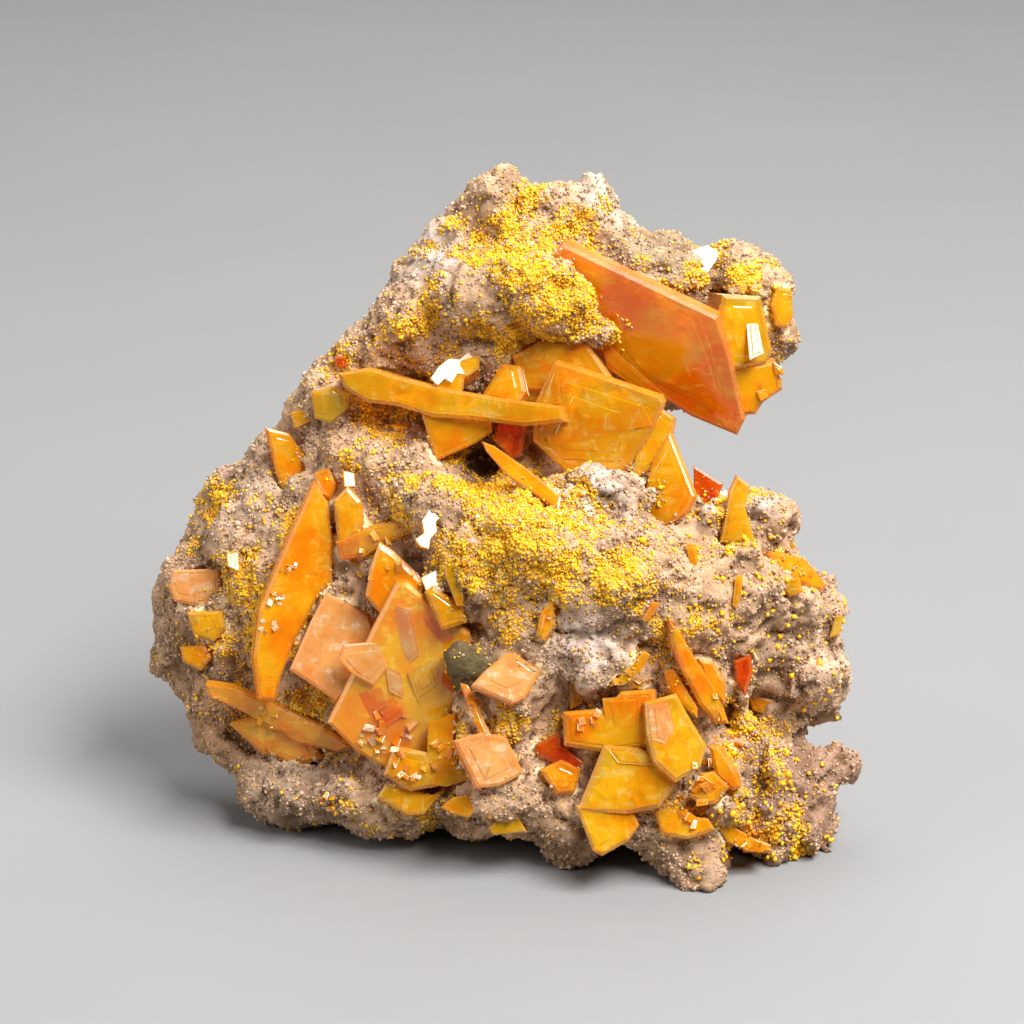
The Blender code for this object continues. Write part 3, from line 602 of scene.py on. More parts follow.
# plates and facets that lie on the large crystals
FACETS = (
    Plate(
        ((-14.7, 20.6), (-14.2, 21.9), (-11.0, 22.2), (-10.4, 19.9), (-11.6, 18.3), (-13.6, 19.4)),
        0.5, (-0.15, 0.1), 0.8, "peach",
    ),
    Plate(
        ((-9.6, 25.4), (-8.4, 25.0), (-7.6, 21.0), (-8.8, 20.0), (-9.9, 22.0)),
        0.12, (0.15, 0.3), 0.3, "peach",
    ),
    Plate(((-7.2, 24.4), (-5.0, 23.6), (-4.6, 22.4), (-6.6, 21.6)), 0.12, (0.1, 0.35), 0.3, "deep"),
    Plate(((-8.6, 19.4), (-6.4, 20.6), (-5.4, 18.0), (-7.6, 16.6)), 0.15, (-0.1, 0.3), 0.4, "yellow"),
    Plate(((-13.0, 17.6), (-11.0, 18.2), (-10.4, 16.6), (-12.6, 15.2)), 0.15, (0.1, 0.3), 0.3, "deep"),
    Plate(((-10.6, 20.0), (-9.2, 19.4), (-9.0, 17.2), (-10.2, 17.8)), 0.15, (-0.1, 0.2), 0.3, "peach"),
    Plate(((-5.4, 20.6), (-4.4, 19.6), (-4.6, 17.6), (-5.6, 18.6)), 0.15, (0.1, 0.1), 0.3, "deep"),
    Plate(((-11.6, 16.4), (-9.9, 17.4), (-8.9, 15.8), (-10.6, 14.6)), 0.15, (0.1, 0.2), 0.4, "deep"),
    Plate(((-5.2, 16.0), (-3.6, 15.0), (-3.4, 12.4), (-5.0, 12.8)), 0.2, (0.1, 0.0), 0.5, "deep"),
    Plate(((3.2, 43.1), (4.9, 43.3), (4.6, 46.6), (4.0, 45.9)), 0.25, (0.3, 0.2), 0.4, "yellow"),
    Plate(
        ((12.7, 16.6), (14.4, 16.9), (15.0, 14.6), (14.2, 13.2), (13.0, 13.6)),
        0.1, (-0.12, -0.12), 0.25, "peach",
    ),
    Plate(((8.6, 17.2), (12.0, 17.4), (11.8, 14.4), (9.2, 13.8)), 0.12, (0.1, 0.1), 0.3, "orange"),
    Plate(((9.0, 12.9), (12.4, 12.4), (13.6, 11.2), (10.0, 11.5)), 0.12, (0.1, -0.2), 0.3, "yellow"),
    Plate(((21.2, 52.3), (22.0, 52.3), (22.9, 47.8), (21.7, 47.2)), 0.3, (-0.33, -0.49), 0.4, "yellow"),
    # a plate turned to mirror the key light, its white colour a painted highlight
    Plate(
        (
            (-6.5, 45.6), (-5.9, 45.0), (-5.3, 45.6), (-4.7, 45.2), (-4.2, 46.0), (-3.0, 45.9), (-2.5, 46.9),
            (-3.2, 47.9), (-4.0, 47.2), (-4.9, 47.3), (-5.8, 46.6),
        ),
        0.3, (-0.33, -0.49), 0.4, "white",
    ),
    # a plate turned to mirror the key light, its white colour a painted highlight
    Plate(
        ((16.6, 56.9), (18.0, 57.3), (19.1, 56.6), (18.0, 55.0), (17.0, 54.6)),
        0.5, (-0.33, -0.49), 0.4, "white",
    ),
)

# where the yellow grains lie thick
DUSTED = (
    Patch(4.5, 51.5, 4.5, 1.6),
    Patch(-1.5, 51.5, 5.5, 0.8),
    Patch(5.5, 57.5, 4.5, 0.9),
    Patch(-3.0, 57.5, 4.0, 0.45),
    Patch(0.5, 60.5, 4.0, 0.5),
    Patch(14.5, 54.0, 4.5, 0.8),
    Patch(20.5, 54.5, 3.0, 1.0),
    Patch(23.5, 48.5, 3.0, 0.7),
    Patch(-8.0, 48.5, 5.0, 0.5),
    Patch(-13.0, 44.0, 4.0, 0.35),
    Patch(-10.5, 37.0, 5.0, 0.8),
    Patch(-2.0, 32.0, 5.5, 1.2),
    Patch(2.5, 34.5, 4.0, 1.2),
    Patch(8.0, 29.5, 4.0, 1.0),
    Patch(14.5, 26.0, 4.5, 0.9),
    Patch(3.0, 26.5, 5.0, 0.5),
    Patch(-23.5, 31.5, 4.5, 0.8),
    Patch(-21.0, 25.5, 4.0, 1.0),
    Patch(-26.0, 22.0, 3.5, 0.6),
    Patch(-17.0, 17.0, 5.0, 0.8),
    Patch(-8.0, 11.0, 6.0, 0.6),
    Patch(13.5, 20.0, 3.5, 0.8),
    Patch(2.0, 15.0, 4.0, 0.5),
    Patch(22.0, 13.5, 4.0, 0.4),
    Patch(18.5, 6.5, 4.5, 0.5),
    Patch(23.0, 4.5, 3.5, 0.6),
    Patch(20.5, 32.5, 4.0, 0.5),
    Patch(-12.0, 47.5, 4.5, 0.35),
)

# where the rock stands out further or less than its solid, in millimetres
SHAPING = (
    Patch(-27.3, 35.9, 1.8, -0.5),
    Patch(-31.4, 21.8, 2.0, -0.6),
    Patch(30.5, 23.0, 1.6, -0.9),
    Patch(28.8, 27.1, 1.5, -0.7),
    Patch(25.8, 31.2, 1.2, -0.6),
    Patch(5.8, 2.3, 2.0, -0.6),
    Patch(-5.5, 5.6, 2.0, -0.6),
    Patch(-10.8, 53.6, 2.0, -0.4),
    Patch(-4.9, 61.3, 1.8, -0.4),
    Patch(10.2, 61.3, 1.5, -0.6),
    Patch(7.8, 62.8, 0.8, 1.0),
    Patch(31.3, 17.7, 1.0, 0.9),
    Patch(28.1, 14.4, 1.5, -0.8),
    Patch(29.4, 5.8, 1.4, -0.6),
    Patch(17.0, 57.8, 2.0, -0.5),
    Patch(-1.8, 38.3, 1.7, -1.3),
)

# where the rock is broken into angular faces
CRAGGY = (
    Patch(25.0, 20.0, 8.0, 0.7),
    Patch(27.0, 8.0, 7.0, 1.0),
    Patch(24.0, 30.0, 5.0, 0.7),
    Patch(8.0, 34.8, 3.0, 0.7),
    Patch(7.0, 21.6, 3.0, 0.8),
    Patch(-25.0, 36.0, 6.0, 0.5),
    Patch(7.6, 60.5, 3.0, 0.8),
    Patch(23.0, 52.0, 4.0, 0.5),
    Patch(-20.0, 8.0, 6.0, 0.5),
    Patch(6.0, 4.0, 5.0, 0.5),
)

# where small crystals lie close together
CLUSTERS = (
    Cluster(-9.8, 14.2, 2.4, 16, 0.95, ("peach", "white", "orange", "peach")),
    Cluster(-11.8, 13.3, 1.1, 9, 0.7, ("yellow", "yellow", "white")),
    Cluster(-8.4, 11.0, 1.3, 8, 0.8, ("white", "yellow", "amber")),
    Cluster(-5.6, 12.4, 1.6, 7, 0.8, ("orange", "amber")),
    Cluster(-0.6, 15.6, 1.4, 9, 0.7, ("yellow", "amber", "yellow")),
    Cluster(-3.0, 17.2, 1.4, 6, 0.8, ("peach", "amber")),
    Cluster(7.2, 15.8, 1.6, 9, 0.8, ("orange", "amber", "peach")),
    Cluster(11.0, 18.6, 1.6, 7, 0.8, ("yellow", "amber")),
    Cluster(17.4, 10.6, 1.8, 10, 0.8, ("orange", "amber", "yellow")),
    Cluster(16.2, 6.8, 2.0, 12, 0.9, ("orange", "yellow", "orange")),
    Cluster(22.8, 4.2, 1.8, 9, 0.7, ("yellow", "amber")),
    Cluster(20.6, 12.6, 1.4, 7, 0.8, ("orange", "amber")),
    Cluster(19.6, 16.6, 1.4, 7, 0.8, ("orange", "amber")),
    Cluster(23.8, 45.2, 1.5, 6, 0.9, ("amber", "orange")),
    Cluster(-19.2, 29.0, 0.7, 8, 0.5, ("white", "yellow")),
    Cluster(-20.2, 26.0, 0.8, 9, 0.5, ("white", "yellow")),
    Cluster(-21.0, 23.6, 0.7, 7, 0.5, ("white", "yellow")),
    Cluster(-11.2, 29.6, 2.2, 12, 0.8, ("yellow", "amber", "orange")),
    Cluster(-21.0, 14.6, 2.4, 9, 0.8, ("yellow", "amber")),
    Cluster(-3.2, 29.6, 1.3, 6, 0.6, ("yellow", "amber")),
    Cluster(-15.2, 8.4, 1.0, 5, 0.7, ("orange", "amber")),
    Cluster(-0.6, 5.6, 1.6, 7, 0.7, ("yellow", "orange")),
    Cluster(25.6, 29.4, 2.0, 8, 0.7, ("orange", "amber")),
)

# single large golden grains on bare rock
GOLDEN = (
    Patch(28.0, 24.0, 3.0, 1.0),
    Patch(25.0, 20.0, 4.0, 0.8),
    Patch(22.5, 29.0, 4.0, 0.8),
    Patch(29.5, 16.5, 3.0, 0.4),
    Patch(20.0, 5.0, 5.0, 1.2),
    Patch(25.0, 4.0, 3.5, 1.2),
    Patch(23.0, 9.0, 4.0, 0.6),
    Patch(1.0, 20.0, 4.0, 0.4),
)

# the rock's own colours, over its common pinkish grey, with painted shade in the deep cave
TINTS = (
    Tint(26.0, 8.5, 6.0, (0.34, 0.19, 0.12)),
    Tint(27.5, 20.0, 5.5, (0.62, 0.40, 0.25)),
    Tint(13.7, 57.2, 3.2, (0.34, 0.23, 0.13)),
    Tint(8.0, 34.8, 3.2, (0.60, 0.48, 0.42)),
    Tint(7.0, 21.6, 3.4, (0.66, 0.50, 0.40)),
    Tint(-6.5, 57.0, 3.4, (0.56, 0.44, 0.37)),
    Tint(8.2, 61.5, 3.0, (0.58, 0.46, 0.34)),
    Tint(21.0, 35.0, 3.0, (0.56, 0.44, 0.38)),
    Tint(-3.8, 20.3, 2.8, (0.095, 0.065, 0.02)),
    Tint(-23.0, 36.0, 5.0, (0.44, 0.29, 0.19)),
    Tint(-26.0, 17.0, 6.0, (0.36, 0.20, 0.10)),
    Tint(-18.0, 8.5, 6.0, (0.36, 0.235, 0.15)),
    # painted shade: the deep cave is darkened
    Tint(-2.0, 38.5, 3.6, (0.22, 0.12, 0.06)),
    Tint(15.0, 3.0, 5.0, (0.38, 0.23, 0.13)),
    Tint(4.5, 4.0, 4.0, (0.44, 0.26, 0.14)),
)

# cracks in the rock, as lines that run across the face
CRACKS = (
    ((4.5, 36.4), (7.0, 36.0), (8.6, 35.2), (11.0, 35.4)),
    ((11.0, 36.5), (15.0, 35.0), (19.0, 34.4), (23.5, 33.0)),
    ((4.4, 23.3), (6.2, 23.2), (8.2, 23.1)),
    ((21.0, 22.0), (22.4, 23.4), (23.5, 24.0)),
)


def lean_to_world(points):
    """Face-frame points in millimetres, as world points in metres before the specimen is put over the origin:
    the face plane is turned back about the u axis by the lean."""
    u, v, w = np.moveaxis(np.asarray(points, float), -1, 0)
    across = v * math.sin(LEAN) - w * math.cos(LEAN)
    up = v * math.cos(LEAN) + w * math.sin(LEAN)
    return np.stack([u, across, up], axis=-1) * MM


def as_real(points):
    """Points seen at (u, v) with depth w, drawn to the middle of the view by how much nearer they are."""
    points = np.array(points, float)
    nearer = 1 - points[..., 2:3] / EYE_DISTANCE
    points[..., :2] = VIEW_MIDDLE + (points[..., :2] - VIEW_MIDDLE) * nearer
    return points


def plate_plane(plate, depth=None):
    """A plate's corners as seen, with their depths, and the direction that its front face looks in."""
    corners = np.array(plate.outline, float)
    middle = plate.depth if depth is None else depth
    depths = middle + (corners - corners.mean(axis=0)) @ np.array(plate.slope)
    normal = np.array([-plate.slope[0], -plate.slope[1], 1.0])
    return np.column_stack([corners, depths]), normal / np.linalg.norm(normal)


def shift_over_origin():
    """How far the solids stand from the leaned face frame: one crystal's box says it."""
    low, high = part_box("tall_blade")
    plate = CRYSTALS["tall_blade"][0]
    corners, normal = plate_plane(plate)
    front = as_real(corners)
    both = lean_to_world(np.concatenate([front, front - normal * plate.thick]))
    middle = (both.min(axis=0) + both.max(axis=0)) / 2
    found = (np.array(low) + np.array(high)) / 2 - middle
    return np.array([found[0], found[1], 0.0])


SHIFT = shift_over_origin()


def to_world(points):
    """Real face-frame points in millimetres to the frame of the solids, in metres."""
    return lean_to_world(points) + SHIFT


def to_face(points):
    """World points in metres to the face frame in millimetres, the other way round."""
    x, y, z = np.moveaxis((np.asarray(points, float) - SHIFT) / MM, -1, 0)
    return np.stack(
        [x, y * math.sin(LEAN) + z * math.cos(LEAN), -y * math.cos(LEAN) + z * math.sin(LEAN)],
        axis=-1,
    )


def as_seen(points):
    """Real face-frame points to where the eye sees them, with their depth."""
    points = np.array(points, float)
    nearer = 1 - points[..., 2:3] / EYE_DISTANCE
    points[..., :2] = VIEW_MIDDLE + (points[..., :2] - VIEW_MIDDLE) / nearer
    return points


def scramble(cells, seed):
    """A whole number for each grid cell, mixed until its bits look random."""
    a, b, c = (cells[..., i].astype(np.int64).astype(np.uint32) for i in range(3))
    mixed = a * np.uint32(374761393) + b * np.uint32(668265263) + c * np.uint32(2147483647)
    mixed = mixed + np.uint32(seed) * np.uint32(3266489917)
    for shift, factor in ((15, 2246822519), (13, 3266489917), (16, 668265263)):
        mixed = (mixed ^ (mixed >> np.uint32(shift))) * np.uint32(factor)
    return mixed ^ (mixed >> np.uint32(15))


def chance(cells, seed):
    """A number from 0 to 1 for each grid cell."""
    return scramble(cells, seed).astype(np.float64) / np.iinfo(np.uint32).max


def chances(cells, seed):
    """Three numbers from 0 to 1 for each grid cell."""
    return np.stack([chance(cells, seed + i) for i in range(3)], axis=-1)


def smooth_noise(points, size, seed):
    """Noise from -1 to 1: random values at the corners of a grid of that size, blended between them."""
    where = points / size
    corner = np.floor(where)
    part = where - corner
    blend = part * part * (3 - 2 * part)
    total = np.zeros(len(points))
    for step in np.ndindex(2, 2, 2):
        weight = np.prod(np.where(np.array(step) == 1, blend, 1 - blend), axis=1)
        total += weight * (chance(corner + step, seed) * 2 - 1)
    return total


def noise_vectors(points, size, seed, count):
    """Smooth noise of several seeds side by side, as one vector for each point."""
    return np.stack([smooth_noise(points, size, seed + i) for i in range(count)], axis=-1)


def layered_noise(points, size, layers, seed):
    """Smooth noise added up, each layer half the size and half the height of the one before."""
    total = np.zeros(len(points))
    for i in range(layers):
        total += smooth_noise(points, size / 2**i, seed + i) / 2**i
    return total / (2 - 0.5 ** (layers - 1))


def seats_around(points, size, seed):
    """The 27 cells of a grid of that size round each point, each with the way from the seat that is
    scattered in it to the point."""
    where = points / size
    corner = np.floor(where)
    for step in np.ndindex(3, 3, 3):
        cell = corner + np.array(step) - 1
        yield cell, where - cell - chances(cell, seed)


def cell_distance(points, size, seed):
    """The distance to the nearest seat."""
    nearest = np.full(len(points), OUT_OF_REACH)
    for _, away in seats_around(points, size, seed):
        nearest = np.minimum(nearest, np.sum(away**2, axis=1))
    return np.sqrt(nearest)


def broken_faces(points, size, seed):
    """Heights of flat broken faces, from about -1 to 1: space is split among the seats, and round each seat
    the height is a plane tipped its own way."""
    nearest = np.full(len(points), OUT_OF_REACH)
    height = np.zeros(len(points))
    for cell, away in seats_around(points, size, seed):
        tip = chances(cell, seed + 3) * 2 - 1
        far = np.sum(away**2, axis=1)
        height = np.where(far < nearest, np.sum(away * tip, axis=1), height)
        nearest = np.minimum(nearest, far)
    return height


def dome_fall(points, size, seed):
    """How far each point has come down from the top of its dome: 0 there, 1 at the dome's foot."""
    return np.clip(cell_distance(points, size, seed) / DOME_REACH, 0, 1)


def patches_at(seen, patches):
    """The patches' amounts added up at each point, each a bell that falls off over its radius."""
    total = np.zeros(len(seen))
    for patch in patches:
        far = ((seen[:, 0] - patch.u) ** 2 + (seen[:, 1] - patch.v) ** 2) / patch.radius**2
        total += patch.amount * np.exp(-far)
    return total


def clumped(thick, face_points):
    """How thick the yellow coating is, from 0 to 1: it gathers in clumps where the patches are weak."""
    clumps = layered_noise(face_points, 2.4, 4, 31)
    return np.clip(thick - 0.5 + 2.4 * clumps, 0, 1) * np.clip(thick * 3, 0, 1)


def distance_to_line(seen, line):
    """The distance of each point to a line of straight pieces, seen from the front."""
    best = np.full(len(seen), OUT_OF_REACH)
    for start, end in zip(np.array(line[:-1]), np.array(line[1:])):
        along = end - start
        share = np.clip((seen[:, :2] - start) @ along / (along @ along), 0, 1)
        best = np.minimum(best, np.linalg.norm(seen[:, :2] - start - share[:, None] * along, axis=1))
    return best


class Value:
    """A shader socket that takes part in Python's sums: each sum adds a Math node."""

    def __init__(self, graph, socket):
        self.graph = graph
        self.socket = socket

    def _math(self, operation, *values):
        return self.graph.node("ShaderNodeMath", {"operation": operation}, *values)

    def __add__(self, other):
        return self._math("ADD", self, other)

    __radd__ = __add__

    def __sub__(self, other):
        return self._math("SUBTRACT", self, other)

    def __rsub__(self, other):
        return self._math("SUBTRACT", other, self)

    def __mul__(self, other):
        return self._math("MULTIPLY", self, other)

    __rmul__ = __mul__

    def at_most(self, other):
        return self._math("MINIMUM", self, other)

    def between(self, low, high):
        """0 below low and 1 above high, with a smooth rise between them."""
        settings = {"interpolation_type": "SMOOTHSTEP"}
        return self.graph.node("ShaderNodeMapRange", settings, self, low, high, 0.0, 1.0)


class Graph:
    """A material's node tree."""

    def __init__(self, name):
        self.material = bpy.data.materials.new(name)
        self.material.use_nodes = True
        self.tree = self.material.node_tree
        self.tree.nodes.clear()
        self.output = self.tree.nodes.new("ShaderNodeOutputMaterial")

    def node(self, kind, settings=None, *values, out=0, **named):
        """Adds a node: first its settings, then the values or links of its sockets, by place or by name."""
        made = self.tree.nodes.new(kind)
        for key, value in (settings or {}).items():
            setattr(made, key, value)
        for place, value in [*enumerate(values), *named.items()]:
            self.feed(made.inputs[place], value)
        return Value(self, made.outputs[out])

    def feed(self, socket, value):
        """Links a value to a socket, or sets a plain one. A colour is given as three numbers."""
        if isinstance(value, Value):
            self.tree.links.new(value.socket, socket)
        elif value is not None:
            socket.default_value = (*value, 1.0) if socket.type == "RGBA" else value

    def mix(self, share, first, second, blend="MIX"):
        """A colour between two, by a share from 0 to 1."""
        made = self.tree.nodes.new("ShaderNodeMix")
        made.data_type = "RGBA"
        made.blend_type = blend
        made.clamp_factor = True
        self.feed(made.inputs[0], share)
        self.feed(made.inputs[6], first)
        self.feed(made.inputs[7], second)
        return Value(self, made.outputs[2])

    def place(self, stretch=(1.0, 1.0, 1.0), turn=(0.0, 0.0, 0.0)):
        """The point on the piece, in metres, stretched and turned."""
        point = self.node("ShaderNodeTexCoord", out="Object")
        if stretch == (1.0, 1.0, 1.0):
            return point
        return self.node("ShaderNodeMapping", None, point, Rotation=turn, Scale=stretch)

    def noise(self, size, detail=2.0, rough=0.5, point=None):
        """Noise whose lumps are about that many millimetres across."""
        point = point or self.place()
        scale = 1 / (size * MM)
        return self.node(
            "ShaderNodeTexNoise", None, Vector=point, Scale=scale, Detail=detail, Roughness=rough
        )

    def cells(self, size, point=None, out="Distance"):
        """Scattered cells about that many millimetres across: how far a cell's middle is, or its colour."""
        point = point or self.place()
        return self.node("ShaderNodeTexVoronoi", None, Vector=point, Scale=1 / (size * MM), out=out)

    def split(self, colour, out=0):
        """One of a colour's three numbers."""
        return self.node("ShaderNodeSeparateColor", None, colour, out=out)

    def attribute(self, name, out="Fac"):
        """What the piece says at each of its points under that name."""
        return self.node("ShaderNodeAttribute", {"attribute_name": name}, out=out)

    def bump(self, height, distance):
        """The surface's direction, tipped as if it rose by that many millimetres where height is 1."""
        return self.node("ShaderNodeBump", None, Strength=1.0, Distance=distance * MM, Height=height)

    def principled(self, **named):
        """Ends the tree in a Principled surface. Names use _ for a space."""
        sockets = {key.replace("_", " "): value for key, value in named.items()}
        surface = self.node("ShaderNodeBsdfPrincipled", None, **sockets)
        self.tree.links.new(surface.socket, self.output.inputs["Surface"])

    def absorb(self, colour, density):
        """Fills the piece with clear matter that colours the light on its way."""
        volume = self.node("ShaderNodeVolumeAbsorption", None, Color=colour, Density=density)
        self.tree.links.new(volume.socket, self.output.inputs["Volume"])


def piece_of(name, mesh, slot):
    """A mesh as a piece that rides on the specimen."""
    piece = bpy.data.objects.new(name, mesh)
    bpy.context.scene.collection.objects.link(piece)
    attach(piece, BODY)
    return piece


def new_piece(name, vertices, faces, materials, slot, material_of_face=None):
    """A piece of points and faces. Faces are lists of corners, or one array where all have as many."""
    mesh = bpy.data.meshes.new(name)
    if isinstance(faces, np.ndarray):
        corners = faces.shape[1]
        mesh.vertices.add(len(vertices))
        mesh.vertices.foreach_set("co", np.asarray(vertices, np.float32).ravel())
        mesh.loops.add(faces.size)
        mesh.loops.foreach_set("vertex_index", faces.astype(np.int32).ravel())
        mesh.polygons.add(len(faces))
        mesh.polygons.foreach_set("loop_start", np.arange(0, faces.size, corners, dtype=np.int32))
        mesh.update(calc_edges=True)
    else:
        mesh.from_pydata([tuple(v) for v in vertices], [], faces)
    for material in materials:
        mesh.materials.append(material)
    if material_of_face is not None:
        mesh.polygons.foreach_set("material_index", np.asarray(material_of_face, np.int32))
    mesh.validate()
    return piece_of(name, mesh, slot)


def set_attribute(mesh, name, values, kind="FLOAT"):
    """Writes a number or a colour at each point of the mesh, for a material to read."""
    attribute = mesh.attributes.new(name, kind, "POINT")
    key = "color" if kind == "FLOAT_COLOR" else "value"
    attribute.data.foreach_set(key, np.asarray(values, np.float32).ravel())


def read_vectors(source, key):
    """A property of three numbers of each item in a mesh's list, as rows."""
    numbers = np.zeros(len(source) * 3, np.float32)
    source.foreach_get(key, numbers)
    return numbers.reshape(-1, 3).astype(float)


def fine_rock_mesh(settings):
    """A copy of the rock's solid with its doubles merged, melted to small even faces, and smoothed."""
    copy = frame["nodes"]["matrix"].data.copy()
    bm = bmesh.new()
    bm.from_mesh(copy)
    bmesh.ops.remove_doubles(bm, verts=bm.verts, dist=1e-7)
    bm.to_mesh(copy)
    bm.free()
    thing = bpy.data.objects.new("rock copy", copy)
    bpy.context.scene.collection.objects.link(thing)
    remesh = thing.modifiers.new("fine", "REMESH")
    remesh.mode = "VOXEL"
    remesh.voxel_size = settings.rock_detail
    soften = thing.modifiers.new("soften", "SMOOTH")
    soften.factor = 0.5
    soften.iterations = 8
    bpy.context.view_layer.update()
    graph = bpy.context.evaluated_depsgraph_get()
    mesh = bpy.data.meshes.new_from_object(thing.evaluated_get(graph))
    bpy.data.objects.remove(thing)
    bpy.data.meshes.remove(copy)
    return mesh


def rock_relief(points, seen, normals):
    """How far each point of the rock stands out, in millimetres. Where it is druse it has round knobs, as
    many small domes side by side. Where it is broken it has flat tipped faces with steps between them.
    Layered noise makes both uneven, a second noise cuts pores, and cracks are narrow grooves."""
    bent = points + 0.5 * noise_vectors(points, 1.7, 40, 3)
    craggy = np.clip(0.22 + patches_at(seen, CRAGGY), 0, 1)
    big = dome_fall(bent, 3.2, 1)
    small = dome_fall(bent, 1.3, 5)
    crumbs = dome_fall(bent, 0.7, 9)
    druse = 0.95 * (0.45 - big**2) + 0.50 * (0.45 - small**2)
    broken = 1.2 * broken_faces(bent, 4.6, 51) + 0.7 * broken_faces(bent, 2.0, 61)
    relief = 0.06 + druse * (1 - 0.75 * craggy) + broken * craggy + 0.24 * (0.5 - crumbs**2)
    relief += 0.40 * layered_noise(points, 4.0, 5, 17) + patches_at(seen, SHAPING)
    pores = np.clip((layered_noise(points, 1.2, 2, 25) - 0.30) / 0.2, 0, 1)
    relief -= 0.6 * pores
    wander = seen[:, :2] + 0.35 * noise_vectors(points, 1.3, 60, 2)
    for line in CRACKS:
        groove = np.clip(1 - distance_to_line(wander, line) / 0.32, 0, 1)
        relief -= 0.9 * groove * (normals[:, 1] < 0)
    return np.clip(relief, -2.0, 1.3)


def under_crystals(points):
    """How close each point lies to a crystal's solid, the mask of a painted glow under the crystals: 1 within
    0.25 mm, falling to 0 at 0.55 mm.
    """
    corners, faces = [], []
    for node in CRYSTALS:
        thing = frame["nodes"][node]
        start = len(corners)
        corners += [thing.matrix_world @ v.co for v in thing.data.vertices]
        faces += [[i + start for i in face.vertices] for face in thing.data.polygons]
    tree = BVHTree.FromPolygons(corners, faces)
    reach, fade = 0.55 * MM, 0.3 * MM
    far = np.full(len(points), reach)
    for i, point in enumerate(points):
        distance = tree.find_nearest(Vector(point), reach)[3]
        if distance is not None:
            far[i] = distance
    return np.clip((reach - far) / fade, 0, 1)


def rock_tints(seen, points):
    """The rock's colour at each point: its common colour, drawn towards each tint inside its radius."""
    colour = np.tile(np.array(ROCK_COLOUR), (len(seen), 1))
    shift = 1.6 * noise_vectors(points, 3.0, 70, 2)
    for tint in TINTS:
        far = np.sum((seen[:, :2] + shift - (tint.u, tint.v)) ** 2, axis=1) / tint.radius**2
        share = np.exp(-(far**2))[:, None]
        colour = colour * (1 - share) + np.array(tint.colour) * share
    return np.column_stack([colour, np.ones(len(seen))])


def rock_material(settings):
    """Fine grains of many greys and browns, painted shade in the hollows, painted shade in dark pores between
    the grains, a yellow stain where the dust lies, and a painted glow where crystals lie over the rock."""
    g = Graph("druse on rock")
    tint = g.attribute("tint", "Color")
    dust = g.attribute("dust")
    hollow = g.attribute("hollow")
    grain = g.split(g.cells(0.24, out="Color"))
    blotch = g.noise(2.6, 4.0, 0.6)
    patchy = g.noise(0.9, 3.0, 0.6)
    pale = g.mix(grain.between(0.45, 1.0) * 0.7, tint, (1.25, 1.34, 1.50), "MULTIPLY")
    pale = g.mix(blotch.between(0.50, 0.66) * 0.6, pale, (0.68, 0.66, 0.52), "MULTIPLY")
    pale = g.mix(patchy.between(0.50, 0.64) * 0.6, pale, (0.58, 0.50, 0.44), "MULTIPLY")
    # painted shade: the rock is darkened where it lies low in its hollows, with some noise
    hollow_shade = (hollow + 0.5 * patchy - 0.25).between(0.05, 0.75)
    pale = g.mix(hollow_shade * 0.65, pale, (0.17, 0.09, 0.04))
    # painted shade: scattered pores are painted near black, and the bump also sinks them
    holes = g.cells(0.42)
    sparse = g.noise(1.6, 2.0)
    dark = (1 - holes.between(0.10, 0.30)) * sparse.between(0.44, 0.60)
    pale = g.mix(dark * 0.85, pale, (0.04, 0.022, 0.012))
    specks = g.cells(0.34, out="Color", point=g.place((1.1, 0.9, 1.0), (0.4, 0.2, 0.7)))
    picked = g.split(specks, 1)
    yellow = (dust * 0.6 + picked * 0.6).between(0.66, 0.80)
    gold = g.mix(grain, settings.dust_colour, settings.dust_shade)
    # painted shade: the yellow is darkened in the hollows too
    gold = g.mix(hollow_shade * 0.6, gold, (0.30, 0.15, 0.01))
    colour = g.mix(yellow * 0.85, pale, gold)
    # painted light: rock near and under the crystals turns pale and warm, as if lit by light through them
    colour = g.mix(g.attribute("painted_glow_under_crystals"), colour, (0.95, 0.80, 0.45))
    height = grain * 0.35 + patchy * 0.5 - dark * 0.8 + g.noise(0.35, 2.0) * 0.5
    g.principled(
        Base_Color=colour,
        Roughness=0.6 + 0.3 * patchy,
        Specular_IOR_Level=0.35,
        Normal=g.bump(height, 0.22),
    )
    return g.material


def grain_material(name, light, dark, rough):
    """Grains of one kind: their colour goes from light to dark from grain to grain."""
    g = Graph(name)
    pick = g.split(g.cells(0.5, out="Color"))
    colour = g.mix(pick.between(0.1, 0.95), light, dark)
    g.principled(Base_Color=colour, Roughness=rough)
    return g.material


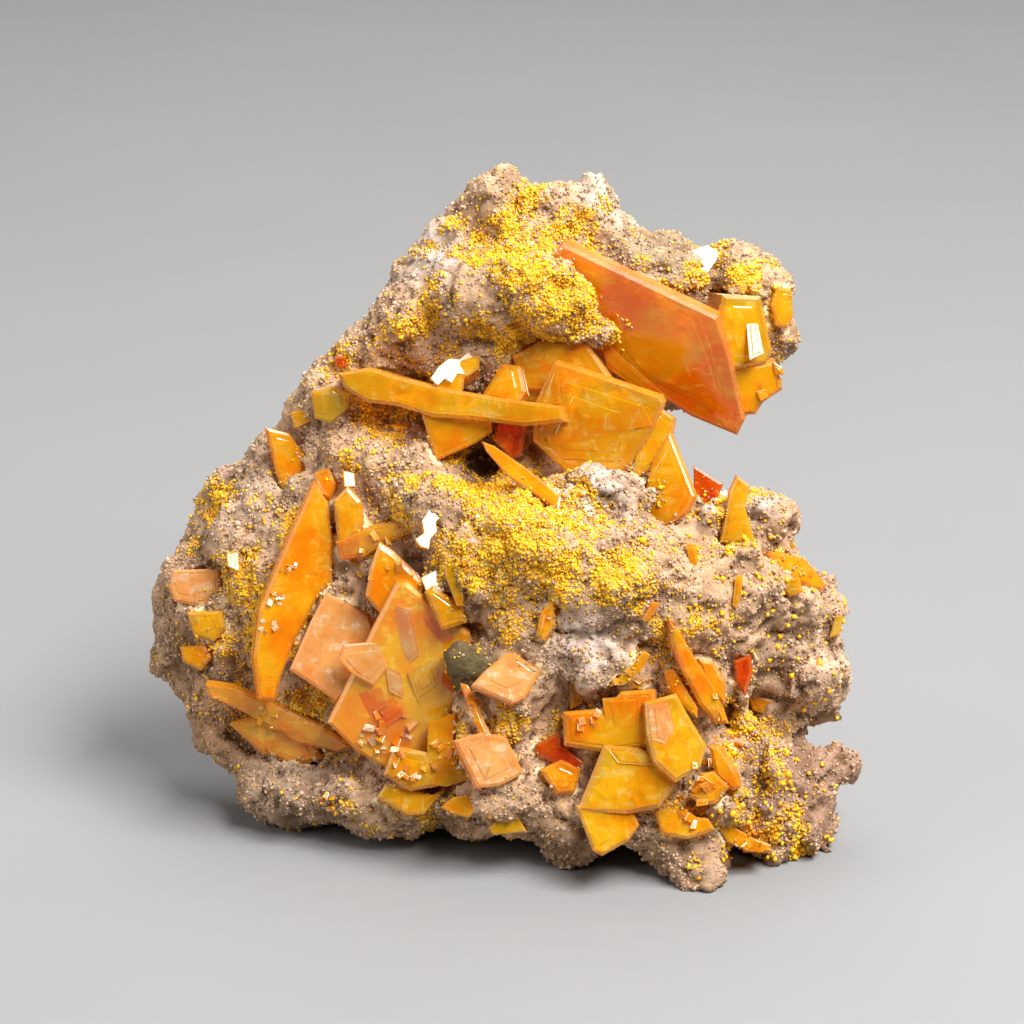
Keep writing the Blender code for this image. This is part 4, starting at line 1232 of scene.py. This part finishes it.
def crystal_material(name, look):
    """Clear crystal in paler and deeper growth zones. Clouds run in streaks, cleavage shows as fine straight
    lines, and specks lie here and there. The narrow sides take a colour of their own, lighter on most looks:
    a painted sheen along the edges. Faces are nearly flat, with faint growth lines and shallow waves."""
    g = Graph(name + " crystal")
    rim = g.attribute("rim")
    zones = g.noise(5.0, 2.0, 0.5)
    streaks = g.noise(1.3, 4.0, 0.6, g.place((0.5, 1.0, 1.4), (0.3, 0.9, 0.4)))
    feathers = g.noise(1.1, 3.0, 0.6, g.place((1.8, 0.35, 0.8), (0.9, 0.3, 0.2)))
    clouds = g.noise(2.6, 3.0, 0.6)
    cleavage = g.noise(0.45, 1.0, 0.5, g.place((0.07, 1.0, 1.0), (0.4, 0.6, 0.9)))
    specks = g.cells(0.55)
    some = g.noise(3.0, 1.0)
    lined = cleavage.between(0.60, 0.68) * clouds.between(0.46, 0.58)
    cloudy = (streaks.between(0.54, 0.61) + feathers.between(0.56, 0.63)) * clouds.between(0.42, 0.56)
    specked = (1 - specks.between(0.07, 0.17)) * some.between(0.50, 0.60)
    colour = g.mix(zones.between(0.42, 0.60), look.colour, look.zone)
    colour = g.mix((1 - clouds.between(0.40, 0.50)) * 0.55, colour, (1.0, 0.66, 0.40), "MULTIPLY")
    colour = g.mix((cloudy * 0.6 + lined * 0.45).at_most(0.85), colour, look.cloud)
    colour = g.mix(specked * 0.85, colour, look.speck)
    # the narrow sides' colour, lighter on most looks: a painted sheen along the edges
    colour = g.mix(rim * 0.5, colour, look.rim)
    lines = g.noise(0.5, 2.0, 0.5, g.place((0.12, 1.0, 2.2), (0.5, 0.2, 0.9)))
    waves = g.noise(2.2, 1.0)
    g.principled(
        Base_Color=colour,
        Roughness=look.rough + 0.12 * cloudy + 0.3 * specked + 0.22 * rim,
        IOR=1.6,
        Specular_IOR_Level=0.36,
        Transmission_Weight=look.clear,
        Normal=g.bump(lines * 0.18 + waves * 0.6 - lined * 0.15, 0.04),
    )
    g.absorb(look.through, look.density)
    return g.material


def signed_area(corners):
    """An outline's area, below zero where its corners run clockwise."""
    ahead = np.roll(corners, -1, axis=0)
    return np.sum(corners[:, 0] * ahead[:, 1] - ahead[:, 0] * corners[:, 1]) / 2


def inward_ways(corners):
    """The direction that points inwards from each side of an outline whose corners run anticlockwise."""
    sides = np.roll(corners, -1, axis=0) - corners
    sides /= np.linalg.norm(sides, axis=1)[:, None]
    return np.column_stack([-sides[:, 1], sides[:, 0]])


def inset_ring(corners, distances):
    """A closed outline drawn in: each side moves inwards by its own distance, and the new corners are where
    neighbouring sides meet. Corners run anticlockwise."""
    after = inward_ways(corners)
    before = np.roll(after, 1, axis=0)
    d_before, d_after = np.roll(distances, 1), distances
    turn = before[:, 0] * after[:, 1] - before[:, 1] * after[:, 0]
    safe = np.where(np.abs(turn) < 0.2, 1.0, turn)
    met = np.column_stack(
        [
            d_before * after[:, 1] - before[:, 1] * d_after,
            before[:, 0] * d_after - d_before * after[:, 0],
        ]
    ) / safe[:, None]
    mean = (before + after) / 2 * ((d_before + d_after) / 2)[:, None]
    move = np.where((np.abs(turn) < 0.2)[:, None], mean, met)
    reach = np.linalg.norm(move, axis=1)
    most = 2.5 * np.maximum(np.abs(d_before), np.abs(d_after)) + 1e-9
    return corners + move * np.minimum(1, most / np.maximum(reach, 1e-9))[:, None]


def half_width(corners):
    """The distance from an outline's middle to its nearest side."""
    to_middle = corners.mean(axis=0) - corners
    return max(0.15, np.min(np.abs(np.sum(to_middle * inward_ways(corners), axis=1))))


def on_plate(plate, corners, normal, flat, height):
    """Real points of a plate's front plane that are seen at (u, v), raised by a height along its normal."""
    depths = corners[:, 2].mean() + (flat - corners[:, :2].mean(axis=0)) @ np.array(plate.slope)
    return as_real(np.column_stack([flat, depths])) + np.multiply.outer(height, normal)


def plate_rings(plate, sides, room, rng):
    """The rings that an outline is carried through, from a plate's back to its front: the back's chamfer,
    the side with faint growth bands, the front's chamfer, and up to two growth steps, each a little further
    in and a little higher. A ring has an inset for each side, a height, and a share of the rim's colour."""
    chamfer = min(RIM_SHARE * min(plate.thick, THICKEST_RIM), 0.45 * room)
    edge, cut = np.zeros(sides), np.full(sides, chamfer)
    rings = [(cut, -plate.thick, 0.3), (edge, chamfer - plate.thick, 0.8)]
    for share in (0.35, 0.62):
        band = rng.uniform(0.0, 0.05, sides)
        height = -plate.thick + chamfer + share * (plate.thick - 2 * chamfer)
        rings += [(edge, height - 0.02, 0.9), (band, height, 1.0)]
    rings += [(edge, -chamfer, 1.0), (cut, -FRONT_STEP, 0.9)]
    inset, height = cut + 0.12 * room, -FRONT_STEP
    rings.append((inset, height, 0.0))
    for _ in range(rng.integers(0, 3)):
        inset = inset + rng.uniform(0.0, 0.34, sides) * (room - chamfer)
        if inset.max() > 0.8 * room:
            break
        rings.append((inset, height, 0.0))
        height += rng.uniform(0.02, 0.07)
        inset = inset + 0.10
        rings.append((inset, height, 0.0))
    return rings


def crystal_surface(plate, depth, rng):
    """A closed plate: its outline is carried through the rings, and one flat face closes each end."""
    corners, normal = plate_plane(plate, depth)
    if signed_area(corners) < 0:
        corners = corners[::-1]
    outline = corners[:, :2]
    sides = len(outline)
    rings = plate_rings(plate, sides, half_width(outline), rng)
    points = [on_plate(plate, corners, normal, inset_ring(outline, ring[0]), ring[1]) for ring in rings]
    count = len(rings)
    here = np.arange(sides)
    there = np.roll(here, -1)
    faces = []
    for k in range(count - 1):
        low, high = k * sides, (k + 1) * sides
        faces += [[low + a, low + b, high + b, high + a] for a, b in zip(here, there)]
    faces.append([int(i) for i in here[::-1]])
    faces.append([int(i) + (count - 1) * sides for i in here])
    rim = np.repeat([ring[2] for ring in rings], sides)
    return to_world(np.concatenate(points)), faces, rim


def outline_reach(outline, centre, angles):
    """How far it is from a point to the outline in each direction, and whether the point is inside."""
    starts = outline - centre
    ends = np.roll(starts, -1, axis=0)
    sides = ends - starts
    ways = np.column_stack([np.cos(angles), np.sin(angles)])
    cross = ways[:, None, 0] * sides[None, :, 1] - ways[:, None, 1] * sides[None, :, 0]
    cross = np.where(np.abs(cross) < 1e-9, 1e-9, cross)
    along = (starts[None, :, 0] * sides[None, :, 1] - starts[None, :, 1] * sides[None, :, 0]) / cross
    share = (starts[None, :, 0] * ways[:, None, 1] - starts[None, :, 1] * ways[:, None, 0]) / cross
    met = (along > 0) & (share >= 0) & (share < 1)
    return np.where(met, along, OUT_OF_REACH).min(axis=1), bool(np.sum(met[0]) % 2)


def crack_surface(plate, depth, rng):
    """A thin crack inside a plate, as a bent lens: round a centre its radius follows a slim ellipse with an
    uneven edge, cut short at the plate's sides. Its height is a tilt plus a bend that grows with the distance
    squared."""
    corners, normal = plate_plane(plate, depth)
    outline = corners[:, :2]
    count = CRACK_CORNERS
    angles = np.linspace(0, 2 * math.pi, count, endpoint=False)
    centre = rng.dirichlet(np.ones(len(outline))) @ outline
    reach, inside = outline_reach(outline, centre, angles)
    length = rng.uniform(0.5, 2.4)
    slim = length * rng.uniform(0.08, 0.45)
    turn = rng.uniform(0, math.pi)
    radii = 1 / np.sqrt((np.cos(angles - turn) / length) ** 2 + (np.sin(angles - turn) / slim) ** 2)
    radii = np.minimum(radii * rng.uniform(0.6, 1.1, count), 0.8 * reach - 0.1)
    if not inside or radii.min() < 0.03:
        return None
    ways = np.column_stack([np.cos(angles), np.sin(angles)])
    tilt = rng.uniform(-0.5, 0.5, 2)
    bend = rng.uniform(-0.3, 0.3)
    most = 0.3 * plate.thick
    offset = rng.uniform(-0.5, 0.5) * most
    layers = ((0.0, 0.03), (0.0, -0.03), (0.55, 0.02), (0.55, -0.02), (1.0, 0.0))
    points = []
    for share, lens in layers:
        away = ways * (radii * share)[:, None]
        height = np.clip(offset + away @ tilt + bend * np.sum(away**2, axis=1), -most, most)
        ring = on_plate(plate, corners, normal, centre + away, height - plate.thick / 2 + lens)
        points.append(ring[:1] if share == 0 else ring)
    here = np.arange(count)
    there = np.roll(here, -1)
    top, bottom, rim = 2, 2 + count, 2 + 2 * count
    faces = [[0, top + a, top + b] for a, b in zip(here, there)]
    faces += [[1, bottom + b, bottom + a] for a, b in zip(here, there)]
    faces += [[top + a, rim + a, rim + b, top + b] for a, b in zip(here, there)]
    faces += [[bottom + b, rim + b, rim + a, bottom + a] for a, b in zip(here, there)]
    return to_world(np.concatenate(points)), faces, np.zeros(rim + count)


def crack_material():
    """Inner cracks: they throw back the light in bright yellow and peach."""
    g = Graph("inner cracks")
    shade = g.noise(0.8, 3.0, 0.6)
    colour = g.mix(shade.between(0.38, 0.62), (1.0, 0.50, 0.04), (1.0, 0.82, 0.42))
    g.principled(Base_Color=colour, Roughness=0.3, Normal=g.bump(g.noise(0.3, 3.0), 0.05))
    return g.material


def join_shapes(shapes):
    """Several shapes as one, with the number of the shape that each face comes from."""
    points, faces, rims, owner = [], [], [], []
    start = 0
    for i, (shape_points, shape_faces, rim) in enumerate(shapes):
        points.append(shape_points)
        faces += [[corner + start for corner in face] for face in shape_faces]
        rims.append(rim)
        owner += [i] * len(shape_faces)
        start += len(shape_points)
    return np.concatenate(points), faces, np.concatenate(rims), owner


def crystal_piece(name, plates, depths, slot, rng):
    """One mesh of all these crystals, each with the material of its look."""
    used = list(dict.fromkeys(plate.look for plate in plates))
    shapes = [crystal_surface(plate, depth, rng) for plate, depth in zip(plates, depths)]
    points, faces, rims, owner = join_shapes(shapes)
    points[:, 2] = np.maximum(points[:, 2], GROUND)
    looks = [used.index(plates[i].look) for i in owner]
    piece = new_piece(name, points, faces, [looks_material(look) for look in used], slot, looks)
    set_attribute(piece.data, "rim", rims)
    return piece


def looks_material(look):
    """The material of a kind of crystal, made the first time that it is asked for."""
    name = look + " crystal"
    found = bpy.data.materials.get(name)
    return found or crystal_material(look, LOOKS[look])


SLOT_OF_NODE = {part["node"]: part["material_slot"] for part in frame["record"]["subparts"]}


def front_of(trees, u, v):
    """The depth of the frontmost of several surfaces where the eye looks at (u, v), or None where there is
    none."""
    near, far = as_real([[u, v, 40.0], [u, v, -60.0]])
    start, end = (Vector(point) for point in to_world(np.array([near, far])))
    hits = [tree.ray_cast(start, (end - start).normalized())[0] for tree in trees]
    depths = [to_face(np.array(hit))[2] for hit in hits if hit is not None]
    return max(depths, default=None)


def trees_of(names):
    """Search trees of the pieces with these names."""
    graph = bpy.context.evaluated_depsgraph_get()
    return [BVHTree.FromObject(bpy.data.objects[name], graph) for name in names]


def cluster_plates(cluster, trees, rng):
    """Small plates of random four-cornered outlines inside a cluster, and their depths: each is sunk a little
    in what lies behind it."""
    plates, depths = [], []
    for i in range(cluster.count):
        away = cluster.radius * np.sqrt(rng.uniform())
        turn, spin = rng.uniform(0, 2 * math.pi, 2)
        u = cluster.u + away * math.cos(turn)
        v = cluster.v + away * math.sin(turn)
        size = cluster.size * rng.uniform(0.5, 1.3)
        slim = rng.uniform(0.35, 1.0)
        square = np.array([(-1, -1), (1, -0.8), (0.9, 1), (-0.8, 0.9)]) * rng.uniform(0.75, 1.1, (4, 2))
        square *= (size / 2, size * slim / 2)
        lean = np.array([[math.cos(spin), -math.sin(spin)], [math.sin(spin), math.cos(spin)]])
        outline = square @ lean.T + (u, v)
        slope = tuple(rng.uniform(-0.7, 0.5, 2))
        depth = front_of(trees, u, v)
        if depth is None:
            continue
        look = cluster.looks[i % len(cluster.looks)]
        plates.append(Plate(tuple(map(tuple, outline)), 0.0, slope, size * rng.uniform(0.3, 0.8), look))
        depths.append(depth + 0.3 * size)
    return plates, depths


def scatter(skin, weight, count, rng):
    """Random places on the skin, more where the weight is higher, with the directions that the skin faces."""
    polygons = skin.data.polygons
    total = len(polygons)
    middles = read_vectors(polygons, "center")
    normals = read_vectors(polygons, "normal")
    areas = np.zeros(total)
    polygons.foreach_get("area", areas)
    share = weight(middles, normals) * areas
    picked = rng.choice(total, size=count, replace=True, p=share / share.sum())
    around = rng.uniform(-1, 1, (count, 3)) * JITTER
    around -= normals[picked] * np.sum(around * normals[picked], axis=1)[:, None]
    return middles[picked] + around, normals[picked]


def points_on_faces(mesh, rng):
    """Random points on a mesh's faces, six for each square millimetre, with the directions of the faces."""
    for face in mesh.polygons:
        corners = np.array([mesh.vertices[i].co for i in face.vertices])
        for _ in range(rng.poisson(face.area / MM**2 * 6)):
            yield rng.dirichlet(np.ones(len(corners))) @ corners, np.array(face.normal)


def grain_surfaces(places, normals, sizes, sunk, rng):
    """Many small stones as one mesh. Each is an octahedron, squeezed, turned at random, with uneven corners,
    and stands a little out of the ground."""
    shape = np.array([(1, 0, 0), (-1, 0, 0), (0, 1, 0), (0, -1, 0), (0, 0, 1), (0, 0, -1)], float)
    faces = np.array([(0, 2, 4), (2, 1, 4), (1, 3, 4), (3, 0, 4), (2, 0, 5), (1, 2, 5), (3, 1, 5), (0, 3, 5)])
    count = len(places)
    turns = np.linalg.qr(rng.normal(size=(count, 3, 3)))[0]
    turns *= np.where(np.linalg.det(turns) < 0, -1.0, 1.0)[:, None, None]
    squeeze = rng.uniform(0.6, 1.1, (count, 1, 3)) * sizes[:, None, None] / 2
    corners = shape[None] * squeeze * rng.uniform(0.8, 1.2, (count, 6, 1))
    corners = np.einsum("nij,nkj->nki", turns, corners)
    seats = places + normals * (sizes * sunk)[:, None]
    points = (corners + seats[:, None]).reshape(-1, 3)
    points[:, 2] = np.maximum(points[:, 2], GROUND)
    all_faces = (faces[None] + 6 * np.arange(count)[:, None, None]).reshape(-1, 3)
    return points, all_faces


class SpecimenSettings(bpy.types.PropertyGroup):
    """Sizes and colours that a user would change."""

    rock_detail: bpy.props.FloatProperty(
        name="Rock detail",
        description="Size of the faces of the rock's surface",
        default=0.385 * MM,
        unit="LENGTH",
    )
    grain_size: bpy.props.FloatProperty(
        name="Yellow grain size",
        description="Usual width of the grains of the yellow coating",
        default=0.33 * MM,
        unit="LENGTH",
    )
    grain_count: bpy.props.IntProperty(
        name="Yellow grains",
        description="Number of yellow grains in each of the two coatings",
        default=21000,
    )
    stone_size: bpy.props.FloatProperty(
        name="Stone grain size",
        description="Usual width of the grains of the rock",
        default=0.36 * MM,
        unit="LENGTH",
    )
    stone_count: bpy.props.IntProperty(
        name="Stone grains",
        description="Number of stone grains of each of the two kinds",
        default=19000,
    )
    dust_colour: bpy.props.FloatVectorProperty(
        name="Yellow",
        description="Colour of the yellow coating in the light",
        default=(0.88, 0.53, 0.008),
        subtype="COLOR",
    )
    dust_shade: bpy.props.FloatVectorProperty(
        name="Yellow shade",
        description="Deeper colour of the yellow coating",
        default=(0.76, 0.34, 0.005),
        subtype="COLOR",
    )
    key_power: bpy.props.FloatProperty(
        name="Key light",
        description="Power of the large light in front",
        default=3.3,
        unit="POWER",
    )


class SPECIMEN_OT_rock(bpy.types.Operator):
    """Builds the rock's surface, with its druse, pores and cracks"""

    bl_idname = "specimen.rock"
    bl_label = "Rock"

    def execute(self, context):
        settings = context.scene.specimen
        mesh = fine_rock_mesh(settings)
        points = read_vectors(mesh.vertices, "co")
        normals = read_vectors(mesh.vertex_normals, "vector")
        face_points = to_face(points)
        seen = as_seen(face_points)
        relief = rock_relief(face_points, seen, normals)
        moved = points + normals * relief[:, None] * MM
        moved[:, 2] = np.maximum(moved[:, 2], GROUND)
        mesh.vertices.foreach_set("co", moved.astype(np.float32).ravel())
        mesh.shade_smooth()
        thick = patches_at(seen, DUSTED) * (normals[:, 1] < 0.25)
        set_attribute(mesh, "dust", clumped(thick, face_points))
        # how low the rock lies: the mask of the painted shade in its hollows
        set_attribute(mesh, "hollow", np.clip((0.25 - relief) / 0.9, 0, 1))
        set_attribute(mesh, "painted_glow_under_crystals", under_crystals(moved))
        set_attribute(mesh, "tint", rock_tints(seen, face_points), "FLOAT_COLOR")
        mesh.materials.clear()
        mesh.materials.append(rock_material(settings))
        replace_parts(piece_of("rock_surface", mesh, "rock"), "matrix")
        return {"FINISHED"}


class SPECIMEN_OT_grains(bpy.types.Operator):
    """Scatters the yellow grains and the pale grains over the rock"""

    bl_idname = "specimen.grains"
    bl_label = "Grains"

    def execute(self, context):
        settings = context.scene.specimen
        skin = bpy.data.objects["rock_surface"]
        rng = np.random.default_rng(11)

        def yellow(middles, normals):
            face_points = to_face(middles)
            thick = patches_at(as_seen(face_points), DUSTED) * (normals[:, 1] < 0.3)
            return clumped(thick, face_points) + 0.012 + 0.03 * np.clip(thick, 0, 1)

        def golden(middles, normals):
            return patches_at(as_seen(to_face(middles)), GOLDEN) * (normals[:, 1] < 0.3)

        def pale(middles, normals):
            face_points = to_face(middles)
            clumps = layered_noise(face_points, 2.2, 3, 37)
            # fewer pale grains where the tint is dark, in the cave's painted shade too
            bright = rock_tints(as_seen(face_points), face_points)[:, 0]
            bare = np.clip((bright - 0.2) / 0.2, 0.04, 1)
            return np.clip(0.35 + clumps, 0.03, 1) * bare * (1.0 - 0.6 * (normals[:, 1] > 0.3))

        gold = grain_material("yellow grains", settings.dust_colour, settings.dust_shade, 0.35)
        for i in range(2):
            places, normals = scatter(skin, yellow, settings.grain_count, rng)
            sizes = settings.grain_size * rng.lognormal(-0.1, 0.3, len(places))
            points, faces = grain_surfaces(places, normals, sizes, 0.12, rng)
            new_piece(f"yellow_grains_{i + 1}", points, faces, [gold], "yellow_crystal")
        places, normals = scatter(skin, golden, GOLDEN_COUNT, rng)
        sizes = rng.uniform(0.5, 0.95, GOLDEN_COUNT) * MM
        points, faces = grain_surfaces(places, normals, sizes, 0.2, rng)
        honey = grain_material("golden grains", (0.95, 0.56, 0.01), (0.85, 0.34, 0.01), 0.25)
        new_piece("golden_grains", points, faces, [honey], "yellow_crystal")
        shades = (((0.62, 0.42, 0.28), (0.42, 0.26, 0.15)), ((0.50, 0.32, 0.20), (0.27, 0.155, 0.08)))
        for i, (light, dark) in enumerate(shades):
            stone = grain_material(f"stone grains {i + 1}", light, dark, 0.5)
            places, normals = scatter(skin, pale, settings.stone_count, rng)
            sizes = settings.stone_size * rng.lognormal(0, 0.3, len(places))
            points, faces = grain_surfaces(places, normals, sizes, 0.02, rng)
            new_piece(f"stone_grains_{i + 1}", points, faces, [stone], "rock")
        return {"FINISHED"}


class SPECIMEN_OT_large_crystals(bpy.types.Operator):
    """Builds each large crystal in place of its plain solid"""

    bl_idname = "specimen.large_crystals"
    bl_label = "Large crystals"

    def execute(self, context):
        rng = np.random.default_rng(5)
        for node, plates in CRYSTALS.items():
            depths = [plate.depth for plate in plates]
            piece = crystal_piece("clear_" + node, plates, depths, SLOT_OF_NODE[node], rng)
            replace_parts(piece, node)
        return {"FINISHED"}


class SPECIMEN_OT_inner_cracks(bpy.types.Operator):
    """Builds the bright cracks and veils inside the large crystals"""

    bl_idname = "specimen.inner_cracks"
    bl_label = "Inner cracks"

    def execute(self, context):
        rng = np.random.default_rng(23)
        shapes = []
        for plate in (plate for plates in CRYSTALS.values() for plate in plates):
            area = abs(signed_area(np.array(plate.outline)))
            count = int(CRACKED[plate.look] * area) + 1
            tries = [crack_surface(plate, plate.depth, rng) for _ in range(count)]
            shapes += [shape for shape in tries if shape is not None]
        points, faces, _, _ = join_shapes(shapes)
        new_piece("inner_cracks", points, faces, [crack_material()], "orange_crystal")
        return {"FINISHED"}


class SPECIMEN_OT_small_crystals(bpy.types.Operator):
    """Seats the small crystals on the rock"""

    bl_idname = "specimen.small_crystals"
    bl_label = "Small crystals"

    def execute(self, context):
        rng = np.random.default_rng(7)
        ground = trees_of(["rock_surface"])
        fronts = trees_of(["rock_surface", *("clear_" + node for node in CRYSTALS)])
        depths = []
        for trees, group in ((ground, SMALL_CRYSTALS), (fronts, FACETS)):
            for plate in group:
                u, v = np.mean(plate.outline, axis=0)
                depths.append((front_of(trees, u, v) or BURIED_DEPTH) + plate.depth)
        crystal_piece("small_crystals", SMALL_CRYSTALS + FACETS, depths, "orange_crystal", rng)
        plates, depths = [], []
        for cluster in CLUSTERS:
            more, at = cluster_plates(cluster, fronts, rng)
            plates += more
            depths += at
        crystal_piece("shards", plates, depths, "orange_crystal", rng)
        return {"FINISHED"}


class SPECIMEN_OT_overgrowth(bpy.types.Operator):
    """Seats grains on the crystals where they come out of the rock"""

    bl_idname = "specimen.overgrowth"
    bl_label = "Overgrowth"

    def execute(self, context):
        rng = np.random.default_rng(31)
        search, reach = 1.5 * MM, 1.3 * MM
        ground = trees_of(["rock_surface"])[0]
        places, normals = [], []
        for node in CRYSTALS:
            mesh = bpy.data.objects["clear_" + node].data
            for at, way in points_on_faces(mesh, rng):
                away = ground.find_nearest(Vector(at), search)[3]
                if away is not None and way[1] < 0.2 and away < reach * rng.uniform() ** 2:
                    places.append(at)
                    normals.append(way)
        places, normals = np.array(places), np.array(normals)
        is_gold = rng.uniform(size=len(places)) < 0.5
        kinds = (
            ("yellow_overgrowth", is_gold, bpy.data.materials["yellow grains"], "yellow_crystal"),
            ("stone_overgrowth", ~is_gold, bpy.data.materials["stone grains 1"], "rock"),
        )
        for name, chosen, material, slot in kinds:
            sizes = 0.30 * MM * rng.lognormal(0, 0.3, np.sum(chosen))
            points, faces = grain_surfaces(places[chosen], normals[chosen], sizes, 0.1, rng)
            new_piece(name, points, faces, [material], slot)
        return {"FINISHED"}


class SPECIMEN_OT_stage(bpy.types.Operator):
    """Makes the floor, the lights and the camera"""

    bl_idname = "specimen.stage"
    bl_label = "Stage"

    def execute(self, context):
        settings = context.scene.specimen
        floor_and_backdrop()
        world = bpy.data.worlds.new("studio")
        world.use_nodes = True
        background = world.node_tree.nodes["Background"]
        background.inputs["Color"].default_value = (0.95, 0.97, 1.0, 1.0)
        background.inputs["Strength"].default_value = 0.08
        context.scene.world = world
        softbox("key light", (0.6, 0.9, 0.6), 430.0, 0.20, settings.key_power)
        softbox("top light", (0.0, 0.95, -0.3), 380.0, 0.32, 1.3)
        softbox("side light", (-0.95, 0.25, 0.35), 420.0, 0.30, 0.9)
        softbox("fill light", (0.35, 0.55, 0.85), 440.0, 0.14, 1.7)
        camera_at_eye()
        context.scene.view_settings.view_transform = "Standard"
        return {"FINISHED"}


def aimed_object(name, data, direction, distance):
    """An object that looks at the middle of the view from a direction in the face frame."""
    target = np.array([*VIEW_MIDDLE, 0.0])
    way = np.array(direction) / np.linalg.norm(direction)
    place, aim = to_world(np.array([target + way * distance, target]))
    thing = bpy.data.objects.new(name, data)
    thing.location = place
    thing.rotation_euler = Vector(aim - place).to_track_quat("-Z", "Y").to_euler()
    bpy.context.scene.collection.objects.link(thing)
    return thing


def softbox(name, direction, distance, width, power):
    """A square area light, its width in metres."""
    light = bpy.data.lights.new(name, "AREA")
    light.shape = "SQUARE"
    light.size = width
    light.energy = power
    aimed_object(name, light, direction, distance)


def camera_at_eye():
    """The camera looks straight at the face from the eye's distance."""
    lens = bpy.data.cameras.new("eye")
    lens.sensor_width = SENSOR_WIDTH
    lens.lens = EYE_DISTANCE * SENSOR_WIDTH / VIEW_WIDTH
    bpy.context.scene.camera = aimed_object("eye", lens, (0.0, 0.0, 1.0), EYE_DISTANCE)


def floor_and_backdrop():
    """A sheet that runs along the floor, curves up by a quarter circle and rises behind: a profile of
    straight, arc and straight, carried along the width."""
    radius, behind, ahead, tall, half = 0.25, 0.35, 1.2, 1.0, 1.4
    arc = np.linspace(0, math.pi / 2, 25)
    profile = np.concatenate(
        [
            [[-ahead, 0.0]],
            np.column_stack([behind + radius * np.sin(arc), radius - radius * np.cos(arc)]),
            [[behind + radius, tall]],
        ]
    )
    across = np.array([-half, half])
    points = np.array([[x, y, z - FLOOR_GAP] for y, z in profile for x in across])
    rows = np.arange(len(profile) - 1)[:, None] * 2
    faces = rows + np.array([0, 1, 3, 2])
    mesh = bpy.data.meshes.new("floor")
    mesh.from_pydata([tuple(p) for p in points], [], faces.tolist())
    mesh.shade_smooth()
    g = Graph("pale paper")
    colour = g.mix(g.noise(40.0, 3.0), (0.22, 0.218, 0.215), (0.24, 0.238, 0.235))
    g.principled(Base_Color=colour, Roughness=0.8)
    mesh.materials.append(g.material)
    floor = bpy.data.objects.new("floor", mesh)
    bpy.context.scene.collection.objects.link(floor)
    floor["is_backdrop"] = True


class SPECIMEN_PT_panel(bpy.types.Panel):
    """Lists the specimen's steps and settings"""

    bl_label = "Wulfenite specimen"
    bl_idname = "SPECIMEN_PT_panel"
    bl_space_type = "VIEW_3D"
    bl_region_type = "UI"
    bl_category = "Specimen"

    def draw(self, context):
        for name in SpecimenSettings.__annotations__:
            self.layout.prop(context.scene.specimen, name)
        for step in STEPS:
            self.layout.operator(step.bl_idname)


STEPS = (
    SPECIMEN_OT_rock,
    SPECIMEN_OT_grains,
    SPECIMEN_OT_large_crystals,
    SPECIMEN_OT_inner_cracks,
    SPECIMEN_OT_small_crystals,
    SPECIMEN_OT_overgrowth,
    SPECIMEN_OT_stage,
)
CLASSES = (SpecimenSettings, *STEPS, SPECIMEN_PT_panel)


def register():
    for each in CLASSES:
        bpy.utils.register_class(each)
    bpy.types.Scene.specimen = bpy.props.PointerProperty(type=SpecimenSettings)


def unregister():
    del bpy.types.Scene.specimen
    for each in reversed(CLASSES):
        bpy.utils.unregister_class(each)


def main():
    register()
    bpy.ops.specimen.rock()
    bpy.ops.specimen.grains()
    bpy.ops.specimen.large_crystals()
    bpy.ops.specimen.inner_cracks()
    bpy.ops.specimen.small_crystals()
    bpy.ops.specimen.overgrowth()
    bpy.ops.specimen.stage()
    boxes = {"cad": CAD_BOX, "shown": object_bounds()}
    {name: [list(corner) for corner in box] for name, box in boxes.items()}


if __name__ == "__main__":
    main()
